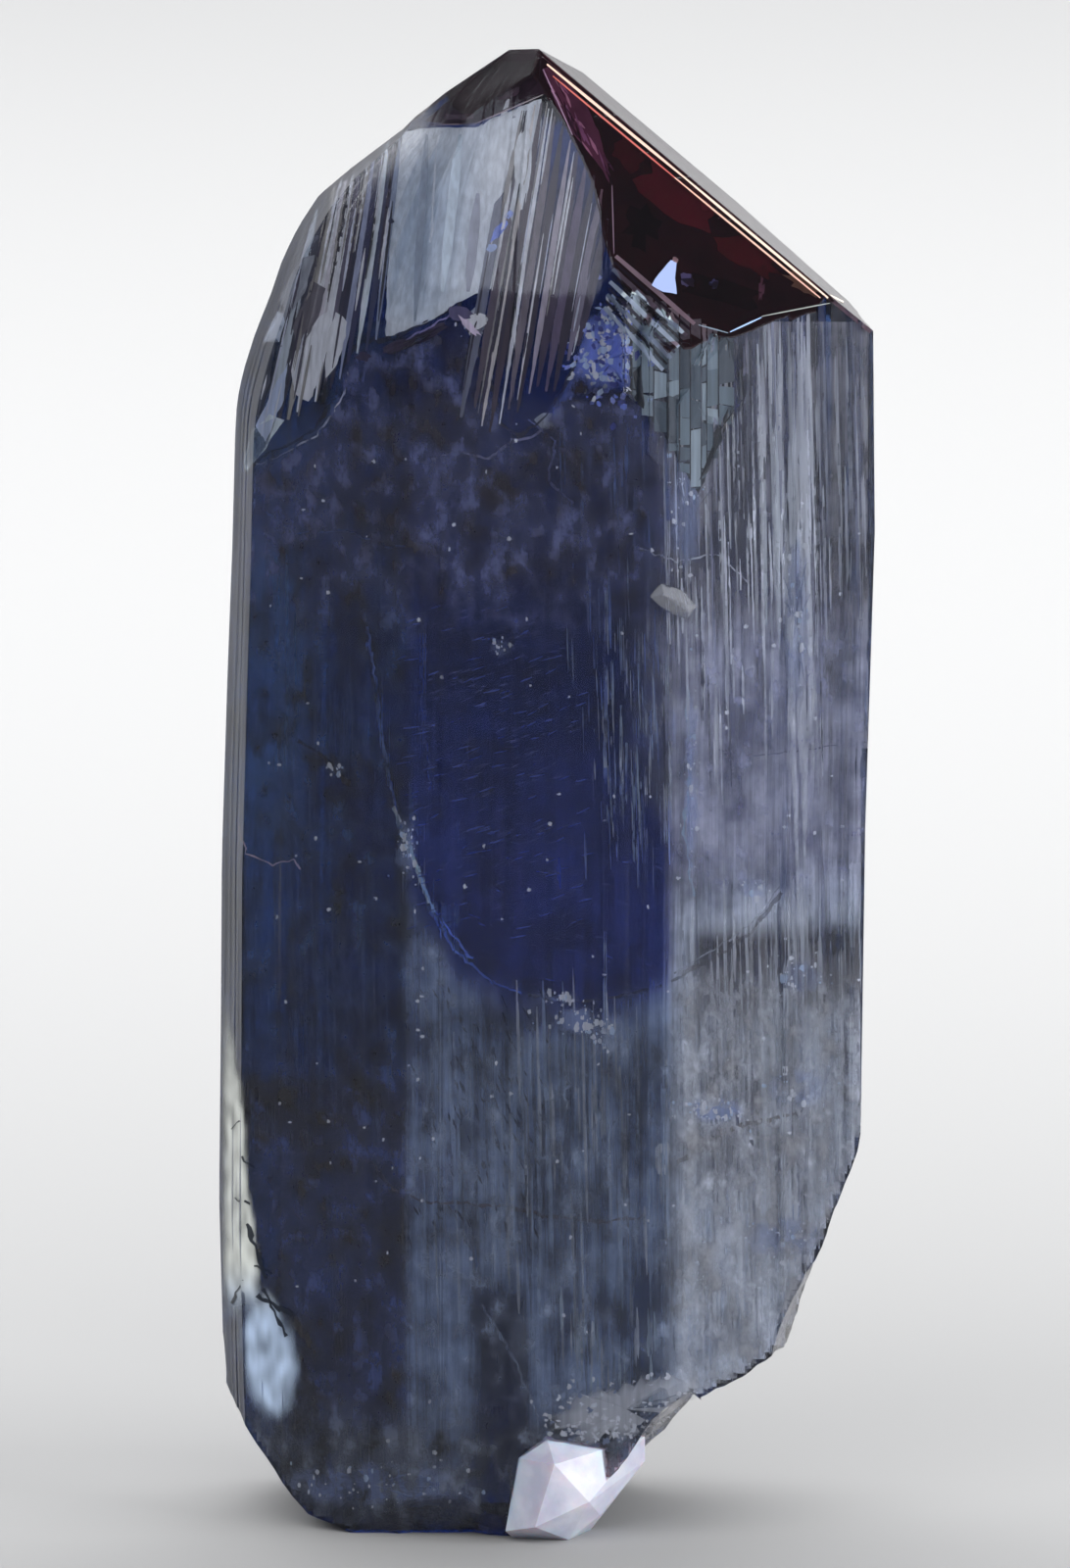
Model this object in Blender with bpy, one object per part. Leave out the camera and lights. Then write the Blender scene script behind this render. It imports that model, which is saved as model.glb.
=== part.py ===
"""A natural tanzanite crystal, 40 mm tall, standing on its broken foot.

The dark blue prism is ribbed along its length and ends in a slanting wedge. Its left shoulder is rounded,
its foot is a rough break with a small flat to stand on, and a small pale crystal grows in a notch at the
front of the foot. Z is up, the front faces -Y, and the origin is under the middle of the bounding box.
"""

import math
import random

import bmesh
import bpy
from mathutils import Matrix, Vector, noise

# Driving dimensions. Every length below is in millimetres.
MM = 0.001
TO_ORIGIN = (0.005, 0.265, 0.0)
LOFT_TOP = 41.5
SPLIT_X = 0.8
RISER = 0.035

# The prism's section: each corner, the least and most width of the ribs on the face that follows it,
# and how deep those ribs are cut.
SECTION = [
    ((-8.25, -2.75), (0.9, 1.6), 0.09),
    ((-3.72, -5.30), (0.45, 1.0), 0.08),
    ((3.28, -6.00), (0.35, 0.6), 0.10),
    ((4.90, -4.95), (0.30, 0.75), 0.13),
    ((8.83, -2.30), (0.6, 1.2), 0.12),
    ((8.20, 2.30), (0.4, 0.9), 0.16),
    ((4.60, 5.30), (0.5, 1.1), 0.14),
    ((-2.70, 6.00), (0.4, 0.8), 0.18),
    ((-7.10, 4.10), (0.4, 0.9), 0.14),
    ((-8.83, 0.95), (0.7, 1.3), 0.06),
]
SECTION_HALF = 8.83

# Where the crystal's left and right sides stand at each height.
LEFT_SIDE = [
    (0.0, -8.55), (4.0, -8.72), (8.2, -8.83), (12.8, -8.78), (17.5, -8.75), (22.6, -8.59), (26.0, -8.46),
    (29.1, -8.38), (30.0, -8.33), (30.8, -8.17), (31.9, -7.83), (32.9, -7.43), (33.9, -7.10), (34.8, -6.67),
    (35.8, -6.02), (36.6, -5.30), (37.2, -4.60), (37.8, -3.90), (38.6, -3.35), (39.6, -2.90), (LOFT_TOP, -2.4),
]
RIGHT_SIDE = [(0.0, 8.30), (12.2, 8.49), (18.9, 8.58), (23.1, 8.71), (27.0, 8.83), (LOFT_TOP, 8.70)]

# How far the front and the rear of the left shoulder lean back, as a share of the section's depth.
FRONT_LEAN = [(32.0, 1.0), (35.1, 0.90), (36.8, 0.77), (38.1, 0.70), (40.2, 0.63), (LOFT_TOP, 0.60)]
REAR_LEAN = [(29.0, 1.0), (34.0, 0.97), (LOFT_TOP, 0.86)]
LEAN_FROM_X = 3.2
LEAN_FULL_X = 1.4

# Heights of the rings that the prism is drawn through.
RINGS = [
    0.0, 2.5, 5.0, 8.2, 12.8, 17.5, 22.6, 26.0, 27.6, 29.1, 30.4, 31.9, 33.4, 34.8, 35.8, 36.6, 37.4, 38.2,
    39.2, 40.2, LOFT_TOP,
]

# Flat crystal faces that cut the top: a point on each, and its outward direction.
CROWN_FACES = {
    "wedge_back": ((-0.09, -3.20, 40.20), (0.649, 0.084, 0.756)),
    "wedge_front": ((4.82, -4.90, 32.90), (0.431, -0.771, 0.469)),
    "crest_front": ((-1.02, -2.70, 40.18), (-0.438, -0.628, 0.643)),
    "crest_rear": ((-1.02, -2.70, 40.18), (-0.546, 0.241, 0.802)),
    "crest_flat": ((-0.60, -2.70, 40.19), (0.020, 0.240, 0.970)),
    "rear_trim": ((2.60, 5.20, 35.60), (0.280, 0.840, 0.465)),
}

# Broken faces at the foot: a point, the outward direction, half the length along the slope, how rough
# the break is, and a seed.
BREAKS = {
    "break_left_high": ((-8.20, 0.0, 2.60), (-0.82, -0.05, -0.57), 9.0, 0.10, 3),
    "break_left_low": ((-5.80, 0.0, 0.55), (-0.48, 0.10, -0.87), 9.0, 0.14, 5),
    "break_right_high": ((7.66, 0.0, 8.45), (0.95, 0.06, -0.32), 9.0, 0.12, 8),
    "break_right_mid": ((6.85, 0.0, 5.45), (0.90, -0.14, -0.43), 9.0, 0.16, 13),
    "break_right_ledge": ((5.40, 0.0, 4.12), (0.39, -0.06, -0.92), 1.25, 0.14, 17),
    "break_right_low": ((1.68, 0.0, 0.68), (0.73, -0.13, -0.67), 4.0, 0.20, 21),
    "break_front": ((-2.50, -5.00, 0.70), (-0.08, -0.66, -0.75), 9.0, 0.20, 34),
    "break_rear": ((0.0, 5.00, 1.60), (0.12, 0.80, -0.59), 9.0, 0.26, 55),
    "break_rear_right": ((4.60, 4.60, 4.60), (0.52, 0.66, -0.54), 9.0, 0.24, 89),
}
BREAK_CELL = 0.75
BREAK_REACH = 9.0

# Shell-shaped chips knocked out of the edges: centre and radius.
CHIPS = [
    ((9.00, -4.60, 6.30), 1.90),
    ((7.10, -6.40, 3.30), 2.10),
    ((-6.30, -6.90, -0.60), 2.60),
    ((-9.90, -3.60, 29.90), 2.10),
    ((-9.70, 2.60, 3.40), 2.20),
    ((-5.80, 7.80, 2.40), 3.20),
    ((9.60, 3.60, 12.60), 1.90),
    ((1.80, 8.00, 33.60), 2.40),
    ((-10.10, 4.60, 27.60), 2.90),
    ((6.60, 6.20, 29.50), 1.30),
]
CHIP_ROUGHNESS = 0.10

# Thin growth plates that stand proud under the wedge: centre, width, height and how far each stands out.
PLATES = [
    ((4.55, -5.10, 31.60), 1.50, 2.60, 0.16),
    ((3.95, -5.45, 29.90), 1.10, 3.40, 0.12),
    ((3.10, -5.80, 31.40), 0.90, 4.20, 0.12),
    ((2.35, -5.85, 32.60), 0.70, 3.00, 0.10),
]
PLATE_TURN = 30.0

# The corners of the small pale crystal, which is grown into the front of the foot.
PALE_CORNERS = [
    (-1.10, -5.60, 0.30), (-0.75, -5.60, 2.30), (0.00, -5.50, 2.90), (2.65, -5.15, 2.80), (2.66, -4.95, 2.10),
    (0.22, -6.55, 2.30), (-0.30, -6.35, 0.55), (1.15, -6.15, 1.20), (1.45, -5.40, 0.70),
    (-0.90, -5.00, 0.0), (0.60, -5.30, 0.0), (1.20, -3.80, 0.0), (-0.70, -3.20, 0.0),
    (0.30, -2.90, 2.50), (2.40, -3.10, 2.50),
]

# The pale splinter on the right front edge: centre, length, width, how far it stands out, and its slant.
SPLINTER = ((3.40, -5.90, 25.75), 1.25, 0.70, 0.32, 28.0)


def hex_to_linear(code):
    """The linear colour of an sRGB hex value."""
    channels = [int(code[i : i + 2], 16) / 255 for i in (0, 2, 4)]
    return [c / 12.92 if c <= 0.04045 else ((c + 0.055) / 1.055) ** 2.4 for c in channels]


def crystal_material(name, colour, roughness, clearness):
    """A clear mineral: its colour, the polish of its faces and how much light it lets through."""
    material = bpy.data.materials.new(name)
    material.use_nodes = True
    shader = material.node_tree.nodes["Principled BSDF"]
    shader.inputs["Base Color"].default_value = (*hex_to_linear(colour), 1)
    shader.inputs["Roughness"].default_value = roughness
    shader.inputs["Metallic"].default_value = 0.0
    shader.inputs["IOR"].default_value = 1.69
    shader.inputs["Transmission Weight"].default_value = clearness
    return material


def between(table, height):
    """The value that a table of (height, value) pairs gives at a height."""
    if height <= table[0][0]:
        return table[0][1]
    for (low, first), (high, last) in zip(table, table[1:]):
        if height <= high:
            share = (height - low) / (high - low)
            return first + (last - first) * share
    return table[-1][1]


def ribs_of_face(length, widths, depth, rng):
    """The flat ribs along one prism face: where each starts and ends, its level, its tilt and its phase."""
    ribs = []
    start = 0.0
    while start < length:
        width = rng.uniform(*widths)
        if length - start - width < widths[0]:
            width = length - start
        level = rng.uniform(-depth, 0.3 * depth)
        tilt = rng.uniform(-0.35, 0.35) * depth
        ribs.append((start, start + width, level, tilt, rng.uniform(0, 2 * math.pi)))
        start += width
    return ribs


def section_points():
    """Points round the ribbed section: place on the plain prism, outward direction, level and phase."""
    rng = random.Random(41)
    points = []
    for index, (corner, widths, depth) in enumerate(SECTION):
        a = Vector(corner)
        b = Vector(SECTION[(index + 1) % len(SECTION)][0])
        along = (b - a).normalized()
        outward = Vector((along.y, -along.x))
        points.append((a, outward, 0.0, 0.0))
        for start, end, level, tilt, phase in ribs_of_face((b - a).length, widths, depth, rng):
            for place, height in ((start + RISER, level - tilt), (end - RISER, level + tilt)):
                points.append((a + along * place, outward, height, phase))
    return points


def shaped(point, height):
    """A section point moved to where the crystal's sides stand at this height."""
    if point.x < SPLIT_X:
        share = (between(LEFT_SIDE, height) - SPLIT_X) / (-SECTION_HALF - SPLIT_X)
        place = (point.x - SPLIT_X) / (-SECTION_HALF - SPLIT_X)
        bunched = share * (1 - max(0.0, 1 - place) ** (1 / share))
        x = SPLIT_X - (SECTION_HALF + SPLIT_X) * (0.75 * bunched + 0.25 * share * place)
    else:
        x = SPLIT_X + (point.x - SPLIT_X) * (between(RIGHT_SIDE, height) - SPLIT_X) / (SECTION_HALF - SPLIT_X)
    lean = between(FRONT_LEAN if point.y < 0 else REAR_LEAN, height)
    share = min(1.0, max(0.0, (LEAN_FROM_X - x) / (LEAN_FROM_X - LEAN_FULL_X)))
    return Vector((x, point.y * (1 - (1 - lean) * share), height))


def loft_prism():
    """The ribbed prism as one closed loft through its rings."""
    mesh = bmesh.new()
    section = section_points()
    rings = []
    for height in RINGS:
        ring = []
        for place, outward, level, phase in section:
            worn = level * (0.7 + 0.3 * math.sin(0.21 * height + phase))
            ring.append(mesh.verts.new(shaped(place + outward * worn, height)))
        rings.append(ring)
    for lower, upper in zip(rings, rings[1:]):
        for i in range(len(section)):
            j = (i + 1) % len(section)
            mesh.faces.new((lower[i], lower[j], upper[j], upper[i]))
    mesh.faces.new(list(reversed(rings[0])))
    mesh.faces.new(rings[-1])
    return mesh


def cut_flat(mesh, point, direction):
    """Cuts everything beyond a plane away and closes the cut with one flat face."""
    cut = bmesh.ops.bisect_plane(
        mesh,
        geom=mesh.verts[:] + mesh.edges[:] + mesh.faces[:],
        dist=1e-5,
        plane_co=point,
        plane_no=direction,
        clear_outer=True,
    )
    rim = [item for item in cut["geom_cut"] if isinstance(item, bmesh.types.BMEdge)]
    bmesh.ops.contextual_create(mesh, geom=rim)


def finish_object(mesh, name, collection, material=None):
    """Turns a bmesh in millimetres into an object in metres, its faces turned outwards."""
    mesh.normal_update()
    bmesh.ops.recalc_face_normals(mesh, faces=mesh.faces)
    if mesh.calc_volume(signed=True) < 0:
        bmesh.ops.reverse_faces(mesh, faces=mesh.faces)
    mesh.transform(Matrix.Scale(MM, 4) @ Matrix.Translation(TO_ORIGIN))
    data = bpy.data.meshes.new(name)
    mesh.to_mesh(data)
    mesh.free()
    obj = bpy.data.objects.new(name, data)
    collection.objects.link(obj)
    if material:
        data.materials.append(material)
    return obj


def make_helper(obj):
    """A cutter is drawn as wire and left out of the render."""
    obj.hide_render = True
    obj.display_type = "WIRE"
    return obj


def rough_break(name, point, direction, half_length, roughness, seed, collection):
    """A block whose near face is a rough break, for cutting a broken face."""
    mesh = bmesh.new()
    along, across = round(2 * half_length / BREAK_CELL), round(2 * BREAK_REACH / BREAK_CELL)
    bmesh.ops.create_grid(mesh, x_segments=along, y_segments=across, size=1)
    for vert in mesh.verts:
        vert.co = (vert.co.x * half_length, vert.co.y * BREAK_REACH, 0)
    near = mesh.verts[:]
    made = bmesh.ops.extrude_face_region(mesh, geom=mesh.faces[:])
    far = [item for item in made["geom"] if isinstance(item, bmesh.types.BMVert)]
    bmesh.ops.translate(mesh, verts=far, vec=(0, 0, BREAK_REACH))
    for vert in near:
        place = vert.co + Vector((0, 0, 37.0 * seed))
        broad = noise.noise(place / 3.1)
        fine = noise.noise(place / 1.1 + Vector((9.0, 0, 0)))
        vert.co.z += roughness * (2.2 * broad + 1.0 * fine)
    outward = Vector(direction).normalized()
    slope = Vector((0, 1, 0)).cross(outward).normalized()
    if slope.length < 0.5:
        slope = Vector((1, 0, 0))
    turn = Matrix((slope, outward.cross(slope), outward)).transposed().to_4x4()
    mesh.transform(Matrix.Translation(point) @ turn)
    return make_helper(finish_object(mesh, name, collection))


def chip_cutter(index, centre, radius, collection):
    """A slightly uneven ball, for knocking a shell-shaped chip out of an edge."""
    mesh = bmesh.new()
    bmesh.ops.create_icosphere(mesh, subdivisions=3, radius=radius)
    for vert in mesh.verts:
        vert.co *= 1 + CHIP_ROUGHNESS * noise.noise(vert.co / 1.3 + Vector((5.0 * index, 0, 0)))
    mesh.transform(Matrix.Translation(centre))
    return make_helper(finish_object(mesh, f"chip_{index:02d}", collection))


def plate(index, centre, width, height, stand_out, collection):
    """A thin six-sided growth plate with pointed ends, half sunk in the prism."""
    half, end = width / 2, height / 2
    point = min(half, 0.3 * height)
    outline = [
        (-half, point - end), (0.1 * half, -end), (half, point - end),
        (half, end - 0.6 * point), (-0.2 * half, end), (-half, end - point),
    ]
    mesh = bmesh.new()
    face = mesh.faces.new([mesh.verts.new((x, 0.4, z)) for x, z in outline])
    made = bmesh.ops.extrude_face_region(mesh, geom=[face])
    front = [item for item in made["geom"] if isinstance(item, bmesh.types.BMVert)]
    bmesh.ops.translate(mesh, verts=front, vec=(0, -0.4 - stand_out, 0))
    mesh.transform(Matrix.Translation(centre) @ Matrix.Rotation(math.radians(PLATE_TURN), 4, "Z"))
    return make_helper(finish_object(mesh, f"plate_{index}", collection))


def pale_crystal(collection):
    """The small pale crystal, as the flat faces between its corners."""
    mesh = bmesh.new()
    for corner in PALE_CORNERS:
        mesh.verts.new(corner)
    hull = bmesh.ops.convex_hull(mesh, input=mesh.verts[:])
    inside = [item for item in hull["geom_interior"] if isinstance(item, bmesh.types.BMVert)]
    bmesh.ops.delete(mesh, geom=inside, context="VERTS")
    pale = crystal_material("pale_mineral", "D8DAE6", 0.3, 0.5)
    return make_helper(finish_object(mesh, "pale_crystal", collection, pale))


def splinter(collection):
    """The pale splinter: a small slanted block with bevelled ends, half sunk in the face."""
    centre, length, width, stand_out, slant = SPLINTER
    mesh = bmesh.new()
    bmesh.ops.create_cube(mesh, size=1)
    for vert in mesh.verts:
        end = 0.5 + 0.12 * (vert.co.y > 0)
        vert.co = (math.copysign(length * end, vert.co.x), vert.co.y * 2 * stand_out, vert.co.z * width)
    turn = Matrix.Rotation(math.radians(18), 4, "Z") @ Matrix.Rotation(math.radians(slant), 4, "Y")
    mesh.transform(Matrix.Translation(centre) @ turn)
    return make_helper(finish_object(mesh, "splinter", collection))


def add_boolean(obj, other, operation):
    """One exact Boolean step, kept as a modifier."""
    step = obj.modifiers.new(other.name, "BOOLEAN")
    step.operation = operation
    step.object = other
    step.solver = "EXACT"


def build_tanzanite(parts, helpers):
    """The whole specimen in one solid: prism, crystal faces, growth plates, broken foot and pale crystal."""
    mesh = loft_prism()
    for point, direction in CROWN_FACES.values():
        cut_flat(mesh, point, direction)
    material = crystal_material("tanzanite", "1E2A5A", 0.12, 0.9)
    crystal = finish_object(mesh, "tanzanite_crystal", parts, material)
    for index, (centre, width, height, stand_out) in enumerate(PLATES):
        add_boolean(crystal, plate(index, centre, width, height, stand_out, helpers), "UNION")
    for name, shape in BREAKS.items():
        add_boolean(crystal, rough_break(name, *shape, helpers), "DIFFERENCE")
    for index, (centre, radius) in enumerate(CHIPS):
        add_boolean(crystal, chip_cutter(index, centre, radius, helpers), "DIFFERENCE")
    for grown_on in (pale_crystal(helpers), splinter(helpers)):
        add_boolean(crystal, grown_on, "UNION")


def main():
    for obj in list(bpy.data.objects):
        bpy.data.objects.remove(obj)
    parts = bpy.data.collections.new("tanzanite_specimen")
    helpers = bpy.data.collections.new("cutters")
    for collection in (parts, helpers):
        bpy.context.scene.collection.children.link(collection)
    build_tanzanite(parts, helpers)


main()
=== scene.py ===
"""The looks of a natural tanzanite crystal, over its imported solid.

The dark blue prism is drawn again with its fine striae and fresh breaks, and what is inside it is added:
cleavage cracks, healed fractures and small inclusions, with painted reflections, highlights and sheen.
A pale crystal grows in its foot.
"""

import functools
import math
import random

import bmesh
import bpy
from mathutils import Matrix, Vector, noise
from mathutils.bvhtree import BVHTree


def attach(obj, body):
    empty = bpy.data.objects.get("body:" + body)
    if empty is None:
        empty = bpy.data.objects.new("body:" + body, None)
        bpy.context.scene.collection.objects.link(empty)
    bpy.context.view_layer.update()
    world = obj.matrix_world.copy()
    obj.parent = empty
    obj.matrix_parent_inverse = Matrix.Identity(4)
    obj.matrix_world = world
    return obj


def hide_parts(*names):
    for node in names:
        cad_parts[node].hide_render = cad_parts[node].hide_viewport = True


bl_info = {
    "name": "Tanzanite crystal",
    "version": (1, 0, 0),
    "blender": (4, 5, 0),
    "location": "3D view > Sidebar > Tanzanite",
    "description": "Builds a natural tanzanite crystal with its inclusions, a pale foot crystal and a stage",
    "category": "Add Mesh",
}

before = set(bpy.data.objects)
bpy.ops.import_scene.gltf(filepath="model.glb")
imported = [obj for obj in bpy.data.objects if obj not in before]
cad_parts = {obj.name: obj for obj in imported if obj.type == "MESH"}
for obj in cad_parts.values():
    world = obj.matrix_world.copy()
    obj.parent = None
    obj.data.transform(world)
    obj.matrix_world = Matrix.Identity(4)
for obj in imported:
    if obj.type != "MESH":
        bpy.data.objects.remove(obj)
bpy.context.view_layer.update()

# Lengths in the tables below are in millimetres, as in the solid.
MM = 0.001
# From the tables' places to the frame's, which has the foot at its origin.
TO_ORIGIN = (0.005, 0.265, 0.0)
LOFT_TOP = 41.5
# Where the left part of the section meets the right part, and how wide the step between two ribs is.
SPLIT_X = 0.8
RISER = 0.035
# The section: each corner, then the narrowest and widest rib and the rib depth on the face after it.
SECTION = [
    ((-8.25, -2.75), (0.9, 1.6), 0.09),
    ((-3.72, -5.30), (0.45, 1.0), 0.08),
    ((3.28, -6.00), (0.35, 0.6), 0.10),
    ((4.90, -4.95), (0.30, 0.75), 0.13),
    ((8.83, -2.30), (0.6, 1.2), 0.12),
    ((8.20, 2.30), (0.4, 0.9), 0.16),
    ((4.60, 5.30), (0.5, 1.1), 0.14),
    ((-2.70, 6.00), (0.4, 0.8), 0.18),
    ((-7.10, 4.10), (0.4, 0.9), 0.14),
    ((-8.83, 0.95), (0.7, 1.3), 0.06),
]
SECTION_HALF = 8.83
# Where the left and right sides stand at each height, and what share of its depth the crystal keeps there.
LEFT_SIDE = [
    (0.0, -8.55), (4.0, -8.72), (8.2, -8.83), (12.8, -8.78), (17.5, -8.75), (22.6, -8.59), (26.0, -8.46),
    (29.1, -8.38), (30.0, -8.33), (30.8, -8.17), (31.9, -7.83), (32.9, -7.43), (33.9, -7.10), (34.8, -6.67),
    (35.8, -6.02), (36.6, -5.30), (37.2, -4.60), (37.8, -3.90), (38.6, -3.35), (39.6, -2.90),
    (LOFT_TOP, -2.4),
]
RIGHT_SIDE = [(0.0, 8.30), (12.2, 8.49), (18.9, 8.58), (23.1, 8.71), (27.0, 8.83), (LOFT_TOP, 8.70)]
FRONT_LEAN = [(32.0, 1.0), (35.1, 0.90), (36.8, 0.77), (38.1, 0.70), (40.2, 0.63), (LOFT_TOP, 0.60)]
REAR_LEAN = [(29.0, 1.0), (34.0, 0.97), (LOFT_TOP, 0.86)]
# The lean starts at the first x and is full at the second. Its kinks are rounded off over these steps.
LEAN_FROM_X = 3.2
LEAN_FULL_X = 1.4
EASE_STEPS = (-1.2, -0.8, -0.4, 0.0, 0.4, 0.8, 1.2)
# The flat faces of the crown: a point on each and the way that it faces.
CROWN_FACES = {
    "wedge_back": ((-0.09, -3.20, 40.20), (0.649, 0.084, 0.756)),
    "wedge_front": ((4.82, -4.90, 32.90), (0.431, -0.771, 0.469)),
    "crest_front": ((-1.02, -2.70, 40.18), (-0.438, -0.628, 0.643)),
    "crest_rear": ((-1.02, -2.70, 40.18), (-0.546, 0.241, 0.802)),
    "crest_flat": ((-0.60, -2.70, 40.19), (0.020, 0.240, 0.970)),
    "rear_trim": ((2.60, 5.20, 35.60), (0.280, 0.840, 0.465)),
}
# The rough breaks: a point, the way that it faces, half its length, its roughness and its seed.
BREAKS = {
    "break_left_high": ((-8.20, 0.0, 2.60), (-0.82, -0.05, -0.57), 9.0, 0.10, 3),
    "break_left_low": ((-5.80, 0.0, 0.55), (-0.48, 0.10, -0.87), 9.0, 0.14, 5),
    "break_right_high": ((7.66, 0.0, 8.45), (0.95, 0.06, -0.32), 9.0, 0.12, 8),
    "break_right_mid": ((6.85, 0.0, 5.45), (0.90, -0.14, -0.43), 9.0, 0.16, 13),
    "break_right_ledge": ((5.40, 0.0, 4.12), (0.39, -0.06, -0.92), 1.25, 0.14, 17),
    "break_right_low": ((1.68, 0.0, 0.68), (0.73, -0.13, -0.67), 4.0, 0.20, 21),
    "break_front": ((-2.50, -5.00, 0.70), (-0.08, -0.66, -0.75), 9.0, 0.20, 34),
    "break_rear": ((0.0, 5.00, 1.60), (0.12, 0.80, -0.59), 9.0, 0.26, 55),
    "break_rear_right": ((4.60, 4.60, 4.60), (0.52, 0.66, -0.54), 9.0, 0.24, 89),
}
BREAK_REACH = 9.0
BREAK_CELL = 0.40
# The chips knocked out of the edges: the middle and radius of the ball that each one fits.
CHIPS = [
    ((9.00, -4.60, 6.30), 1.90),
    ((7.10, -6.40, 3.30), 2.10),
    ((-6.30, -6.90, -0.60), 2.60),
    ((-9.90, -3.60, 29.90), 2.10),
    ((-9.70, 2.60, 3.40), 2.20),
    ((-5.80, 7.80, 2.40), 3.20),
    ((9.60, 3.60, 12.60), 1.90),
    ((1.80, 8.00, 33.60), 2.40),
    ((-10.10, 4.60, 27.60), 2.90),
    ((6.60, 6.20, 29.50), 1.30),
]
CHIP_ROUGHNESS = 0.10
# The growth plates: middle, width, height and how far each stands out.
PLATES = [
    ((4.55, -5.10, 31.60), 1.50, 2.60, 0.16),
    ((3.95, -5.45, 29.90), 1.10, 3.40, 0.12),
    ((3.10, -5.80, 31.40), 0.90, 4.20, 0.12),
    ((2.35, -5.85, 32.60), 0.70, 3.00, 0.10),
]
PLATE_TURN = 30.0
PLATE_SUNK = 0.4
# The corners of the small pale crystal, and the gap that it keeps from the blue one.
PALE_CORNERS = [
    (-1.10, -5.60, 0.30), (-0.75, -5.60, 2.30), (0.00, -5.50, 2.90), (2.65, -5.15, 2.80), (2.66, -4.95, 2.10),
    (0.22, -6.55, 2.30), (-0.30, -6.35, 0.55), (1.15, -6.15, 1.20), (1.45, -5.40, 0.70),
    (-0.90, -5.00, 0.0), (0.60, -5.30, 0.0), (1.20, -3.80, 0.0), (-0.70, -3.20, 0.0),
    (0.30, -2.90, 2.50), (2.40, -3.10, 2.50),
]
PALE_GAP = 0.06
# The pale splinter: middle, length, width, how far it stands out, and its slant in degrees.
SPLINTER = ((3.40, -5.90, 25.75), 1.25, 0.70, 0.32, 28.0)

# What the solid leaves out: fine striae, with their widths, relief and edges. They fade towards the
# corners, and over the smooth shoulder they are calmer.
STRIA_WIDTHS = (0.09, 0.26)
STRIA_LEAST = 0.03
STRIA_RELIEF = 0.018
STRIA_EDGE = 0.012
CORNER_RAMP = 0.35
CALM_FROM, CALM_FULL = 32.5, 35.0
CALM_SHARE = 0.8
# How far apart the rings of the loft are.
BODY_RING_STEP = 1.0
CROWN_RING_STEP = 0.4
CROWN_RINGS_FROM = 29.0

# How much brighter than it should look a piece inside is made, because the glass keeps light from it.
INNER_GAIN = 2.4

# The surface kinds that the glass tells apart, and the side face that is worn dull.
PRISM, CROWN, BROKEN, WORN = 0, 1, 2, 3
KINDS = 4
WORN_SIDE = 9

# The photograph's frame: its size, the scale at the crystal, where the crystal's foot stands, and the
# camera's height angle. What lies inside the crystal has its places in this frame, as (px, py), its widths
# and heights in the same pixels, its depth behind the skin in millimetres, and its tone as it should look.
PHOTO_WIDTH = 1092
PHOTO_HEIGHT = 1600
MM_PER_PIXEL = 0.0264
PHOTO_FOOT = (557.5, 1535.6)
CAMERA_ANGLE = 10.0
CAMERA_DISTANCE = 1500.0
REFRACTION = 1.69

# The box that the body fills there, and where the front face passes into the left and right ones.
BODY_LEFT, BODY_TOP, BODY_RIGHT, BODY_FOOT = 222, 330, 892, 1596
LEFT_RIDGE = (408, 424)
RIGHT_RIDGE = (680, 700)


def hex_to_linear(code):
    """The linear colour of an sRGB hex value."""
    channels = [int(code[i : i + 2], 16) / 255 for i in (0, 2, 4)]
    return tuple(c / 12.92 if c <= 0.04045 else ((c + 0.055) / 1.055) ** 2.4 for c in channels)


def per_metre(*sizes):
    """How often patterns of these sizes in millimetres repeat in a metre."""
    return tuple(1 / (size * MM) for size in sizes)


def add_node(tree, kind, settings=None, links=None):
    """Adds a node, sets its properties and inputs, and links its inputs to other nodes' outputs."""
    node = tree.nodes.new(kind)
    for key, value in (settings or {}).items():
        if isinstance(key, str) and hasattr(node, key):
            setattr(node, key, value)
        else:
            node.inputs[key].default_value = value
    for key, output in (links or {}).items():
        tree.links.new(output, node.inputs[key])
    return node


def new_material(name):
    """An empty node material and its output node."""
    material = bpy.data.materials.new(name)
    material.use_nodes = True
    tree = material.node_tree
    tree.nodes.clear()
    return material, tree, add_node(tree, "ShaderNodeOutputMaterial")


def between(table, height):
    """The value that a table of (height, value) pairs gives at a height."""
    if height <= table[0][0]:
        return table[0][1]
    for (low, first), (high, last) in zip(table, table[1:]):
        if height <= high:
            share = (height - low) / (high - low)
            return first + (last - first) * share
    return table[-1][1]


def ribs_of_face(length, widths, depth, rng):
    """The flat ribs along one prism face: where each starts and ends, its level, its tilt and its phase."""
    ribs = []
    start = 0.0
    while start < length:
        width = rng.uniform(*widths)
        if length - start - width < widths[0]:
            width = length - start
        level = rng.uniform(-depth, 0.3 * depth)
        tilt = rng.uniform(-0.35, 0.35) * depth
        ribs.append((start, start + width, level, tilt, rng.uniform(0, 2 * math.pi)))
        start += width
    return ribs


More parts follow.
